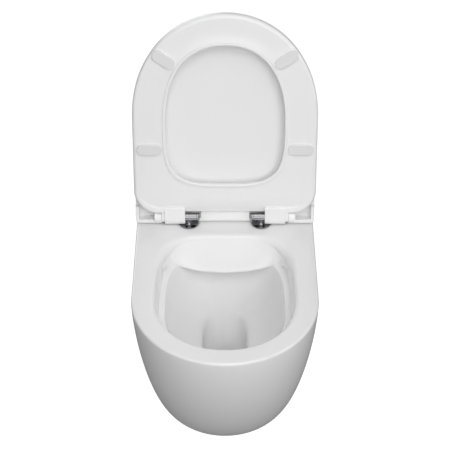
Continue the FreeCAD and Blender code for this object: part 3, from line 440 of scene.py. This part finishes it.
# where the flush leaves the distributor's ends: how deep and at which angle the wall is hollow,
# the degrees over which that fades, and the shares of the wall's depth over which it starts
RECESS, RECESS_ANGLE, RECESS_FADE, RECESS_START = 7.0, 54.0, (2.0, 15.0), (0.35, 0.8)
LEDGE_CORNER = 4.0  # the hollow corner between the wall and the ledge
# the share of it that lies in from the wall at the back, and out of the wall elsewhere
CORNER_IN, CORNER_OUT = 0.8, 0.2
LEDGE_NOSE = ((2.6, 45.15), (1.2, 45.5), (0.4, 46.2))  # out from the basin's edge, and depth
THROAT_WALL, BASIN_WALL = 10.0, 9.0  # thickness round the opening and round the basin
# shares of the way over the deck to the rim, back under the deck, and down the wall
DECK_SHARES, UNDER_SHARES = (0.2, 0.4, 0.6, 0.8, 0.93), (0.3, 0.7)
WALL_SHARES = (0.25, 0.5, 0.75, 1.0)
THROAT_DEPTHS = (46.0, 34.0, 24.0, 17.0, DECK_UNDER)  # of the skin outside the wall

# depth, half width, back reach, front reach, back power
BASIN = [
    (45.0, 119.7, 149.5, 476.4, 3.7),
    (90.0, 105.0, 157.5, 452.5, 3.5),
    (125.0, 85.0, 168.5, 415.5, 3.2),
    (145.0, 68.0, 177.5, 388.0, 3.2),
    (157.0, 54.0, 184.0, 370.0, 3.3),
    (164.0, 47.3, 188.0, 361.0, 3.3),
    (171.0, 45.3, 192.0, 354.0, 3.2),
    (200.0, 44.0, 208.0, 334.0, 2.8),
    (217.0, 42.0, 216.5, 323.0, 2.6),
    (230.0, 35.0, 223.0, 315.0, 2.4),
]
BASIN_DEPTHS = (
    47.2, 48.6, 51.0, 55.0, 62.0, 72.0, 84.0, 97.0, 110.0, 122.0, 132.0, 140.0, 147.0,
    153.0, 158.0, 162.0, 166.0, 171.0, 177.0, 185.0, 195.0, 206.0, 218.0, 230.0,
)
BASIN_BOTTOM = 230.0
BASIN_WIDEST = 0.553  # share of its length, from the back
SUMP_POWER, ROUND_POWER = 2.2, 2.0  # of the rings at the sump's bottom and in the trapway
WALL_DROP = 0.4  # how far the skin outside the basin lies below it, as a share of the wall

TRAP_RADIUS, TRAP_OUTER = 33.0, 38.0
TRAP_LOW, TRAP_TURN = 272.0, 45.0  # depth of its low run, and the radius of its turns
TURN_STOPS, LEAST_STOPS = 12, 4  # stops in a turn, for each radian and at least
SHORT_RUN, RUN_SHARES = 12, (0.33, 0.67, 1.0)  # a run longer than this has stops of its own
OUTLET_DEPTH, OUTLET_END = 180.0, 1.0
TRAP_CORNERS = [(195, TRAP_LOW), (105, 128), (43, OUTLET_DEPTH), (OUTLET_END, OUTLET_DEPTH)]
TONGUE_EDGE = (1.0, 3.0)  # the rounding under the sump's back, in reach and depth
BEND_STEPS, ROUND_STEPS = 9, 12  # rings round the tongue, and until the trapway is evenly round
MOUTH_GAP = 2  # between the bend's last ring and the trapway's first stop
# the outlet's socket and spigot: reach and radius
SPIGOT = (
    (26.0, 33.0), (25.0, 33.0), (25.0, 41.0), (1.8, 41.0), (1.0, 41.8), (1.0, 50.0),
    (2.0, 51.0), (32.0, 51.0), (34.0, 47.0),
)
SPIGOT_END = 36  # reach at which the trapway's outside starts

# the flush inlet's height, and each part's radius and the reaches where it starts and ends
INLET_HEIGHT = 35
INLET_TUBE, INLET_SOCKET, INLET_BORE = (38.5, 0.5, 138), (27.5, -1, 45), (18.0, 44, 150)
# the hinges' holes, which start just above the deck, and end a depth below it
HOLE_ACROSS, HOLE_RADIUS, HOLE_START, HOLE_DEPTH = 74.5, 7.0, 1, 22
# the holes in the flanks: reach, and each one's radius and where it starts and ends across
FLANK_REACH, CAP_RECESS, SCREW_BORE = 45, (10.55, 165.2, 190), (7.05, 150, 166)


# ---------------------------------------------------------------- the ceramic bowl


def casting_size(depth):
    """Half width and projection of the casting's outside at a depth."""
    share = min(max(depth / BOWL_HEIGHT, 0.0), 1.0)
    return [
        foot + gain * (1 - share**power) ** (1 / root)
        for foot, gain, power, root in (HALF_WIDTH, PROJECTION)
    ]


def casting_row(depth, inset=0.0, back=0.0, form_depth=None):
    """The casting's outline from the right of the wall round the nose to the left."""
    half, reach = casting_size(depth if form_depth is None else form_depth)
    nose = NOSE_LENGTH * half - inset
    half, reach = half - inset, reach - inset
    straight = reach - nose
    side = [mix(back, straight, step / SIDE_STEPS) for step in range(SIDE_STEPS)]
    row = [(half, -place, DECK - depth) for place in side]
    for step in range(NOSE_STEPS + 1):
        angle = math.pi * step / NOSE_STEPS
        row.append((half * math.cos(angle), -straight - nose * math.sin(angle), DECK - depth))
    return row + [(-half, -place, DECK - depth) for place in side[::-1]]


def back_row(half, depth, back):
    """The points between the ends of a row, along the wall from the left to the right."""
    places = [mix(-half, half, step / BACK_STEPS) for step in range(1, BACK_STEPS)]
    return [(x, -back, DECK - depth) for x in places]


def oval_point(angle, half, back, front, back_power, depth, middle):
    """The point of a two-part superellipse at an angle about its middle."""
    across, along = math.cos(angle), math.sin(angle)
    length, power = (middle - back, back_power) if along > 0 else (front - middle, FRONT_POWER)
    radius = oval_radius(across, along, half, length, power)
    return (radius * across, -middle + radius * along, DECK - depth)


def opening_point(angle, depth, grow=0.0, draw=0.0, forward=0.0):
    """A point on the wall inside the rim, which draws in with depth except at the back."""
    half, front = OPENING_HALF - draw + grow, OPENING_FRONT - draw + grow
    back = OPENING_BACK - grow + forward
    return oval_point(angle, half, back, front, OPENING_POWER, depth, MIDDLE)


def basin_point(angle, depth, grow=0.0):
    """A point on the basin, or on the skin that lies a wall's thickness outside it."""
    half, back, front, power = curve_through(BASIN, depth)
    middle = mix(back, front, BASIN_WIDEST)
    half, low = half + grow, depth + grow * WALL_DROP
    return oval_point(angle, half, back - grow, front + grow, power, low, middle)


def opening_edge_radius(angle):
    """The rim's inner rounding: small at the sides and front, wider at the back."""
    return RIM_EDGE + RIM_GAIN * smooth_step(math.sin(angle), *RIM_SPAN)


def throat_draw(angle, depth):
    """How far the wall has drawn in, less where the flush leaves the distributor's ends."""
    share, ahead = depth / LEDGE_DEPTH, math.sin(angle)
    recess = 0.0
    if ahead > 0:
        turned = abs(math.degrees(math.asin(ahead)) - RECESS_ANGLE)
        recess = RECESS * (1 - smooth_step(turned, *RECESS_FADE))
    return TAPER * share - recess * smooth_step(share, *RECESS_START)


def throat_rings(angles):
    """From the deck over the rim's rounding, down the wall and round the ledge's corner."""
    rings = []
    for turn in quarter(8):
        ring = []
        for angle in angles:
            radius = opening_edge_radius(angle)
            depth = radius * (1 - math.cos(turn))
            grow, draw = radius * (1 - math.sin(turn)), throat_draw(angle, depth)
            ring.append(opening_point(angle, depth, grow, draw))
        rings.append(ring)
    for share in WALL_SHARES:
        ring = []
        for angle in angles:
            depth = mix(opening_edge_radius(angle), LEDGE_DEPTH - LEDGE_CORNER, share)
            ring.append(opening_point(angle, depth, 0.0, throat_draw(angle, depth)))
        rings.append(ring)
    for turn in quarter(4, first=1):
        depth = LEDGE_DEPTH - LEDGE_CORNER + LEDGE_CORNER * math.sin(turn)
        inward = LEDGE_CORNER * (1 - math.cos(turn))
        ring = []
        for angle in angles:
            draw = throat_draw(angle, LEDGE_DEPTH) + inward - LEDGE_CORNER * CORNER_OUT
            ring.append(opening_point(angle, depth, 0.0, draw, inward * CORNER_IN))
        rings.append(ring)
    return rings


def basin_rings(angles, grow=0.0):
    """Over the ledge's edge and down the basin, or down the skin outside it."""
    rings = []
    if not grow:
        for out, depth in LEDGE_NOSE:
            edge = [basin_point(angle, LEDGE_DEPTH, out) for angle in angles]
            rings.append([(x, y, DECK - depth) for x, y, _ in edge])
    for depth in BASIN_DEPTHS:
        rings.append([basin_point(angle, depth, grow) for angle in angles])
    return rings


def turned_ring(angles, pivot, swing, near, length, half, power):
    """A ring in a plane through a pivot below the sump's back, swung from level to upright."""
    along = (math.cos(swing), math.sin(swing))
    centre = [pivot[i] + along[i] * (near + length) for i in (0, 1)]
    ring = []
    for angle in angles:
        across, forward = math.cos(angle), -math.sin(angle)
        radius = oval_radius(across, forward, half, length, power)
        reach = centre[0] + radius * forward * along[0]
        depth = centre[1] + radius * forward * along[1]
        ring.append((radius * across, -reach, DECK - depth))
    return ring


def bend_rings(angles, grow, radius):
    """From the sump's bottom round to the trap's mouth, about the tongue's edge."""
    half, back, front, _ = curve_through(BASIN, BASIN_BOTTOM)
    start = front - back + 2 * grow
    edge, drop = TONGUE_EDGE
    pivot = (back - grow - edge, BASIN_BOTTOM + (grow * WALL_DROP if grow else drop))
    stop = TRAP_LOW - radius - pivot[1]
    rings = []
    for step in range(1, BEND_STEPS + 1):
        share = step / BEND_STEPS
        ease = smooth_step(share)
        near, length = mix(edge, stop, ease), mix(start / 2, radius, ease)
        across, power = mix(half + grow, radius, ease), mix(SUMP_POWER, ROUND_POWER, ease)
        swing = math.pi / 2 * share
        rings.append(turned_ring(angles, pivot, swing, near, length, across, power))
    return rings, pivot[0]


def trap_stops(start):
    """The trapway's middle from its mouth to the outlet, as (reach, depth, heading)."""
    corners = [np.array(corner, float) for corner in [(start, TRAP_LOW)] + TRAP_CORNERS]
    radius = TRAP_TURN
    stops = []
    here = corners[0]
    for before, corner, after in zip(corners, corners[1:], corners[2:]):
        arrive = (corner - before) / np.linalg.norm(corner - before)
        leave = (after - corner) / np.linalg.norm(after - corner)
        turn = math.acos(float(arrive @ leave))
        first = corner - arrive * radius * math.tan(turn / 2)
        side = np.array([-arrive[1], arrive[0]])
        side = side if side @ leave > 0 else -side
        if np.linalg.norm(first - here) > SHORT_RUN:
            for share in RUN_SHARES:
                stops.append((*(here + (first - here) * share), *arrive))
        steps = max(LEAST_STOPS, int(turn * TURN_STOPS))
        for step in range(1, steps + 1):
            swing = turn * step / steps
            heading = arrive * math.cos(swing) + side * math.sin(swing)
            outward = side * math.cos(swing) - arrive * math.sin(swing)
            stops.append((*(first + side * radius - outward * radius), *heading))
        here = np.array(stops[-1][:2])
    return stops


def tube_ring(angles, stop, radius):
    """A ring of the trapway across its heading."""
    reach, depth, ahead, down = stop
    ring = []
    for angle in angles:
        across, along = radius * math.cos(angle), -radius * math.sin(angle)
        ring.append((across, -(reach + along * down), DECK - (depth - along * ahead)))
    return ring


def even_angles(angles, share):
    """Move angles towards an even spread, so that a tube's rings are round."""
    even = [angles[0] - turn for turn in full_turn(len(angles))]
    return [mix(one, two, share) for one, two in zip(angles, even)]


def rows_towards(form, row, points, shares):
    """Rows between a row and points, all at the points' height."""
    starts = [form.points[at] for at in row]
    rows = []
    for share in shares:
        places = [(*between(start, end, share), end[2]) for start, end in zip(starts, points)]
        rows.append(form.row(places))
    return rows


def add_frame(form, outer, inner, depths, deck_back, under_back):
    """The flat frame at the wall, from the inner skin through its window to the outer one."""
    loops = []
    for rows, back in ((outer, deck_back), (inner, under_back)):
        right = [row[0] for row in rows]
        left = [row[-1] for row in rows]
        loops.append(right + back[::-1] + left[::-1])
    low, high = BOWL_HEIGHT - FLANGE, DECK_UNDER + SKIN
    side = [
        (casting_size(depth)[0] - FLANGE, DECK - mix(high, low, depth / BOWL_HEIGHT))
        for depth in depths
    ]
    scale = side[-1][0] / (casting_size(0)[0] - SKIN)
    top = [(form.points[at][0] * scale, DECK - high) for at in under_back[::-1]]
    window = side + top + [(-x, z) for x, z in side[::-1]]
    front_loop = form.row([(x, -FLANGE_DEPTH, z) for x, z in window])
    back_loop = form.row([(x, 0.0, z) for x, z in window])
    form.strip(loops[1], front_loop)
    form.strip(front_loop, back_loop)
    form.strip(back_loop, loops[0])


def add_shell(form):
    """The skirt and the deck's edge, outside and inside, as far as the two rings at the deck."""
    shares = [math.sin(math.pi / 2 * step / FLANK_STEPS) for step in range(FLANK_STEPS, 0, -1)]
    outer, inner, depths = [], [], []
    for depth in [share * BOWL_HEIGHT for share in shares]:
        if depth <= DECK_EDGE + EDGE_CLEAR:
            continue
        depths.append(depth)
        outer.append(form.row(casting_row(depth)))
        inner_depth = mix(DECK_UNDER, FLOOR_UNDER, depth / BOWL_HEIGHT)
        inner.append(form.row(casting_row(inner_depth, SKIN, FLANGE_DEPTH, depth)))
    for step, turn in enumerate(quarter(EDGE_STEPS)):
        depth = DECK_EDGE * (1 - math.sin(turn))
        outer.append(form.row(casting_row(depth, DECK_EDGE * (1 - math.cos(turn)))))
        low = UNDER_EDGE * (1 - step / EDGE_STEPS)
        depths.append(low)
        inner.append(form.row(casting_row(DECK_UNDER + low, SKIN, FLANGE_DEPTH, low)))
    form.skin(outer, closed=False)
    form.skin(inner, closed=False)
    form.cross(outer[0])
    form.cross(inner[0])
    half = casting_size(0)[0]
    deck_back = form.row(back_row(half - DECK_EDGE, 0.0, 0.0))
    under_back = form.row(back_row(half - SKIN, DECK_UNDER, FLANGE_DEPTH))
    add_frame(form, outer, inner, depths, deck_back, under_back)
    return outer[-1] + deck_back, inner[-1] + under_back


def ring_angles(form, ring):
    """The angles of a ring's points about the opening's middle, falling all the way round."""
    angles = []
    for at in ring:
        x, y, _ = form.points[at]
        angles.append(math.atan2(y + MIDDLE, x))
    start = angles[0]
    return [angle - 2 * math.pi if angle > start + 1e-6 else angle for angle in angles]


def add_waterway(form, ring, end):
    """From the deck down the bowl and the trapway to the outlet, and back under the skin."""
    angles = ring_angles(form, ring)
    lip = throat_rings(angles)
    rings = [ring] + rows_towards(form, ring, lip[0], DECK_SHARES)
    bends, mouth = bend_rings(angles, 0.0, TRAP_RADIUS)
    outer_bends, outer_mouth = bend_rings(angles, BASIN_WALL, TRAP_OUTER)
    points = lip + basin_rings(angles) + bends
    stops = trap_stops(mouth - MOUTH_GAP)
    for number, stop in enumerate(stops):
        even = even_angles(angles, smooth_step(number / ROUND_STEPS))
        points.append(tube_ring(even, stop, TRAP_RADIUS))
    round_angles = even_angles(angles, 1.0)
    for reach, radius in SPIGOT:
        points.append(tube_ring(round_angles, (reach, OUTLET_DEPTH, -1.0, 0.0), radius))
    outside = [stop for stop in stops if SPIGOT_END < stop[0] < outer_mouth - MOUTH_GAP]
    for number, stop in reversed(list(enumerate(outside))):
        even = even_angles(angles, smooth_step(number / ROUND_STEPS))
        points.append(tube_ring(even, stop, TRAP_OUTER))
    points += outer_bends[::-1] + basin_rings(angles, BASIN_WALL)[::-1]
    for depth in THROAT_DEPTHS:
        draw = TAPER * depth / LEDGE_DEPTH
        points.append([opening_point(angle, depth, THROAT_WALL, draw) for angle in angles])
    rings += [form.row(row) for row in points]
    rings += rows_towards(form, rings[-1], [form.points[at] for at in end], UNDER_SHARES)
    form.skin(rings + [end])


def inlet_rod(radius, start, end):
    """A rod on the flush inlet's axis, between two reaches."""
    return radius, (0, -start, INLET_HEIGHT), (0, -end, INLET_HEIGHT)


def flank_rod(side, radius, start, end):
    """A rod through a flank of the casting, between two places across."""
    return radius, (start * side, -FLANK_REACH, 0), (end * side, -FLANK_REACH, 0)


def open_casting(piece):
    """Add the flush inlet's tube, and cut its bore and the holes for the fixings."""
    wide, narrow = [inlet_rod(*INLET_SOCKET)], [inlet_rod(*INLET_BORE)]
    for side in (-1, 1):
        x, top, bottom = HOLE_ACROSS * side, DECK + HOLE_START, DECK - HOLE_DEPTH
        wide.append((HOLE_RADIUS, (x, -HINGE, top), (x, -HINGE, bottom)))
        wide.append(flank_rod(side, *CAP_RECESS))
        narrow.append(flank_rod(side, *SCREW_BORE))
    combine(piece, rods("inlet", [inlet_rod(*INLET_TUBE)]), "UNION")
    combine(piece, rods("recesses", wide), "DIFFERENCE")
    combine(piece, rods("bores", narrow), "DIFFERENCE")


def make_ceramic():
    """The whole casting as one closed skin, from its underside to the outlet and back."""
    form = Form()
    deck_ring, under_ring = add_shell(form)
    add_waterway(form, deck_ring, under_ring)
    piece = form.piece("ceramic", GLAZE)
    open_casting(piece)
    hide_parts("ceramic_bowl")
    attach(piece, "bowl")


# ---------------------------------------------------------------- the flush distributor

# how far along the distributor: the lip's place across, its reach, its depth, its thickness and
# the angle about the opening's middle at which the face above it leaves the rim
LIP = [
    (0.0, 0.0, 181.5, 60.0, 8.5, 90.0),
    (0.3, 39.0, 180.7, 58.0, 8.5, 77.0),
    (0.55, 72.0, 179.0, 53.3, 8.0, 67.0),
    (0.75, 96.0, 176.8, 48.3, 7.0, 59.5),
    (0.85, 107.0, 176.8, 45.2, 6.0, 54.5),
    (0.92, 114.5, 183.0, 43.0, 5.0, 50.5),
    (1.0, 122.5, 202.0, 34.5, 4.0, 45.0),
    (1.1, 132.0, 222.0, 24.0, 3.0, 39.0),
]
LIP_END, LIP_STEPS = 1.1, 96  # where the distributor ends, and sections from end to end
FACE_STEPS, FACE_CROWN, ROUND_LIP = 12, 1.6, 8  # the face's steps and crown, the lip's steps
RIM_TURN, RIM_GAP = 50, 0.2  # how far round the rim's edge the face starts, and how far off it
LEAST_LEAN = 5  # a face that leans forward less than this looks across
# behind the face: share of the way down it, and how much further back than the lip is thick
BEHIND_LIP, BEHIND_ROOT = (0.4, 2), (0.05, 6)


def distributor_section(share):
    """Down the face, round the lip and up behind it, at a share of the way to an end."""
    side = math.copysign(1.0, share)
    across, reach, depth, thick, leave = curve_through(LIP, abs(share))
    lip = Vector((side * across, -reach, DECK - depth))
    angle = math.radians(90 + side * (leave - 90))
    radius = opening_edge_radius(angle)
    turn = math.radians(RIM_TURN)
    low = radius * (1 - math.cos(turn))
    grow = radius * (1 - math.sin(turn)) + RIM_GAP
    root = Vector(opening_point(angle, low, grow, TAPER * low / LEDGE_DEPTH))
    face = lip - root
    run = face.normalized()
    leans = abs(face.y) > LEAST_LEAN
    outward = Vector((0, -1, 0)) if leans else Vector((-side, -0.5, 0))
    out = (outward - run * outward.dot(run)).normalized()
    section = []
    for step in range(FACE_STEPS + 1):
        part = step / FACE_STEPS
        crown = FACE_CROWN * math.sin(math.pi * part) * part
        section.append(root + face * part + out * crown)
    half = thick / 2
    middle = lip - out * half
    for step in range(1, ROUND_LIP + 1):
        turn = math.pi * step / ROUND_LIP
        section.append(middle + half * (out * math.cos(turn) + run * math.sin(turn)))
    part, back = BEHIND_LIP
    section.append(root + face * part - out * (thick + back))
    part, back = BEHIND_ROOT
    section.append(root - out * (thick + back) + face * part)
    return section


def make_distributor():
    """The wall that leans out over the back of the bowl and turns the flush along the ledge."""
    form = Form()
    shares = [LIP_END * (2 * at / LIP_STEPS - 1) for at in range(LIP_STEPS + 1)]
    form.rod([form.row(distributor_section(share)) for share in shares])
    piece = form.piece("flush_distributor", GLAZE)
    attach(piece, "bowl")


# ---------------------------------------------------------------- the seat and the lid

AXIS_HEIGHT = 97.0
RAISED = math.radians(98)  # from closed to the raised rest pose

# the seat's plan: half width, front and back forward of the axis, and its back corners' radius
SEAT_HALF, SEAT_FRONT, SEAT_BACK, SEAT_CORNER = 185.5, 444.0, 12.0, 50.0
SEAT_MIDDLE, OPENING_MIDDLE = 226.5, 215.0  # forward of the axis
SEAT_POWER = 2.05  # of the nose
NEAREST, FARTHEST, HALVINGS = 50.0, 300.0, 36  # the search for the outline along a ray
# the opening's half width, and the length and power of its front and its back
RING_HALF, RING_FRONT, RING_BACK = 119.8, (167.2, 2.3), (134.2, 3.7)
SEAT_TOP, UNDERSIDE, SEAT_EDGE = 9.0, -12.0, 7.0  # heights, and the edge's rounding
# the proud lip under the opening's edge: how far out from the opening, and its height
SEAT_LIP = (
    (0.0, -13.8), (0.35, -14.65), (1.2, -15.0), (4.3, -15.0), (5.15, -14.65), (5.5, -13.8),
    (5.5, -12.3),
)
LIP_FOOT = 5.8  # how far out from the opening the plate starts
PLATE_SHARES = (0.0, 0.04, 0.09, 0.15, 0.22, 0.3, 0.4, 0.5, 0.6, 0.7, 0.8, 0.9, 0.96, 1.0)
ROLL, ROLL_START, ROLL_LENGTH = 10.0, 12, 40  # of the underside, towards the hinges
# the hollow between the lip and the plate: depth, length, and the sines that it fades between
COVE, COVE_LENGTH, COVE_FADE = 2.6, 22, (0.5, 0.95)
# the band along the underside's edge: width, what it gains over a length at the back, its slope
BAND, BAND_GAIN, BAND_START, BAND_LENGTH, BAND_SLOPE = 8.0, 6.0, 62, 50.0, 0.8
# places across, and sines, between which the edge comes to keep its depth beside the hinges
PROUD_ACROSS, PROUD_TURN = (116.0, 126.0), (0.0, 0.1)
# how far out from the opening the slope's rows lie, how deep it goes and its lower edge
SLOPE, SLOPE_DROP, SLOPE_EDGE = (24.0, 18.0, 12.0, 7.0, 3.5, 1.5, 0.5, 0.0), 16.0, 1.2
TOP_SHARES = (0.3, 0.6)
SEAT_STEPS, SEAT_SHARP = 288, 35.0

# the knuckles beside the hinges: their ends across, radius, bore, chamfer and reach forward
LUG = (123.7, 130.2)
LUG_RADIUS, LUG_BORE, LUG_CHAMFER, LUG_REACH, LUG_STEPS = 10.5, 4.7, 0.6, 20.0, 48

# the lid's bar: half length, rounding of its ends, half sizes forward and up, and middle
BAR_HALF, BAR_CORNER, BAR_POWER, BAR_STEPS = 51.0, 2.5, 4, 32
BAR_DEEP, BAR_HIGH = 11.3, 4.6
BAR_S, BAR_W = -0.9, 9.5


def raised_place(x, s, w):
    """The raised point, in millimetres, of a place on the closed seat or lid."""
    turn, lift = math.cos(RAISED), math.sin(RAISED)
    return (x, -HINGE - s * turn + w * lift, AXIS_HEIGHT + s * lift + w * turn)


def seat_outline(angle, inset):
    """The seat's outline, drawn in, on a ray from the opening's middle."""
    half, front, back = SEAT_HALF - inset, SEAT_FRONT - inset, SEAT_BACK + inset
    corner = SEAT_CORNER - inset
    low, high = NEAREST, FARTHEST
    for _ in range(HALVINGS):
        size = (low + high) / 2
        x, s = abs(size * math.cos(angle)), OPENING_MIDDLE + size * math.sin(angle)
        if s > SEAT_MIDDLE:
            round_nose = ((s - SEAT_MIDDLE) / (front - SEAT_MIDDLE)) ** SEAT_POWER
            inside = (x / half) ** SEAT_POWER + round_nose < 1
        elif s < back + corner and x > half - corner:
            inside = math.hypot(x - half + corner, s - back - corner) < corner
        else:
            inside = x < half and s > back
        low, high = (size, high) if inside else (low, size)
    return (size * math.cos(angle), OPENING_MIDDLE + size * math.sin(angle))


def seat_opening(angle, grow):
    """The opening's outline, widened, on a ray from its middle."""
    across, along = math.cos(angle), math.sin(angle)
    length, power = RING_FRONT if along > 0 else RING_BACK
    radius = oval_radius(across, along, RING_HALF + grow, length + grow, power)
    return (radius * across, OPENING_MIDDLE + radius * along)


def underside_at(s):
    """The underside's height, which rolls away towards the hinges."""
    return UNDERSIDE + ROLL * min(max(1 - (s - ROLL_START) / ROLL_LENGTH, 0.0), 1.0) ** 2


def seat_section(angle):
    """From the lip round the underside, the edge, the top and the opening's slope."""
    section = [(*seat_opening(angle, grow), height) for grow, height in SEAT_LIP]
    foot = seat_opening(angle, LIP_FOOT)
    edge = seat_outline(angle, 0.0)
    ahead = math.sin(angle)
    band = BAND + BAND_GAIN * smooth_step(BAND_START - edge[1], 0.0, BAND_LENGTH)
    proud = smooth_step(abs(edge[0]), *PROUD_ACROSS) * smooth_step(-ahead, *PROUD_TURN)
    shore = seat_outline(angle, band + BAND_SLOPE)
    width = math.hypot(shore[0] - foot[0], shore[1] - foot[1])
    front = smooth_step(ahead, *COVE_FADE)
    for share in PLATE_SHARES:
        x, s = between(foot, shore, share)
        cove = COVE * front * max(1 - width * share / COVE_LENGTH, 0.0) ** 2
        section.append((x, s, underside_at(s) - cove))
    place = seat_outline(angle, band)
    section.append((*place, mix(underside_at(place[1]), UNDERSIDE, proud)))
    level = mix(underside_at(edge[1]), UNDERSIDE, proud)
    radius = min(SEAT_EDGE, SEAT_TOP - SEAT_EDGE - level)
    for turn in quarter(6):
        x, s = seat_outline(angle, radius * (1 - math.sin(turn)))
        section.append((x, s, level + radius * (1 - math.cos(turn))))
    for turn in quarter(6):
        x, s = seat_outline(angle, SEAT_EDGE * (1 - math.cos(turn)))
        section.append((x, s, SEAT_TOP - SEAT_EDGE * (1 - math.sin(turn))))
    inner, outer = seat_opening(angle, SLOPE[0]), seat_outline(angle, SEAT_EDGE)
    for share in TOP_SHARES:
        section.append((*between(outer, inner, share), SEAT_TOP))
    for grow in SLOPE:
        drop = SLOPE_DROP * (1 - grow / SLOPE[0]) ** 2
        section.append((*seat_opening(angle, grow), SEAT_TOP - drop))
    x, s, height = section[-1]
    section[-1] = (x, s, height - SLOPE_EDGE)
    return section


def make_seat():
    """The seat ring with its lip, its rolled underside and the two lugs beside the hinges."""
    form = Form()
    rows = []
    for at in range(SEAT_STEPS):
        section = seat_section(2 * math.pi * (at + 0.5) / SEAT_STEPS)
        rows.append(form.row([raised_place(*point) for point in section]))
    form.loop(rows)
    piece = form.piece("seat", DUROPLAST, SEAT_SHARP)
    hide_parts("seat_ring")
    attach(piece, "seat")
    for name, side in (("seat_lug_left", -1), ("seat_lug_right", 1)):
        make_lug(name, side)


def lug_radius(ahead, up, radius):
    """A knuckle's radius in a direction: round behind the axis, and square before it."""
    if ahead <= 0:
        return radius
    reach = LUG_REACH / ahead
    return min(reach, radius / abs(up) if abs(up) > 0.01 else reach)


def make_lug(name, side):
    """A knuckle on the hinge axis, joined forward to the seat's back edge."""
    form = Form()
    rows = []
    inner, outer = LUG
    for x, shrink, bored in (
        (inner, LUG_CHAMFER, False),
        (inner + LUG_CHAMFER, 0.0, False),
        (outer - LUG_CHAMFER, 0.0, False),
        (outer, LUG_CHAMFER, False),
        (outer, 0.0, True),
        (inner, 0.0, True),
    ):
        row = []
        for angle in full_turn(LUG_STEPS):
            ahead, up = math.cos(angle), math.sin(angle)
            radius = LUG_BORE if bored else lug_radius(ahead, up, LUG_RADIUS - shrink)
            row.append(raised_place(side * x, radius * ahead, radius * up))
        rows.append(form.row(row))
    form.loop(rows)
    piece = form.piece(name, DUROPLAST)
    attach(piece, "seat")


def make_hinge_bar():
    """The rounded bar along the lid's back edge, between the hinges."""
    form = Form()
    ends = [
        (-BAR_HALF + BAR_CORNER * (1 - math.cos(turn)), BAR_CORNER * (1 - math.sin(turn)))
        for turn in quarter(5)
    ]
    rows = []
    for x, inset in ends + [(-x, inset) for x, inset in ends[::-1]]:
        row = []
        for angle in full_turn(BAR_STEPS):
            across, up = math.cos(angle), math.sin(angle)
            shape = oval_radius(across, up, 1, 1, BAR_POWER)
            s = BAR_S + (BAR_DEEP - inset) * across * shape
            w = BAR_W + (BAR_HIGH - inset) * up * shape
            row.append(raised_place(x, s, w))
        rows.append(form.row(row))
    form.rod(rows)
    piece = form.piece("lid_hinge_bar", DUROPLAST)
    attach(piece, "lid")


add_camera()
add_floor()
add_world()
add_area("front_high", (0.4, -2.5, 2.5), (2.2, 1.5), 21, glossy=False)
add_area("front_middle", (1.1, -3.0, 1.7), (1.8, 1.0), 17, glossy=False)
add_area("front_top", (0.3, -1.7, 3.0), (2.2, 1.2), 19)
add_area("front_low", (0.1, -3.4, 0.9), (2.6, 1.2), 14)
add_area("right", (2.8, -1.0, 1.2), (1.0, 1.6), 5)
add_area("left", (-2.8, -1.4, 0.5), (1.0, 1.6), 3)
add_area("behind", (-1.2, 2.6, 0.9), (2.2, 1.4), 20, target=(0, 0.0, 0.1))
dress_nodes()
make_ceramic()
make_distributor()
make_seat()
make_hinge_bar()
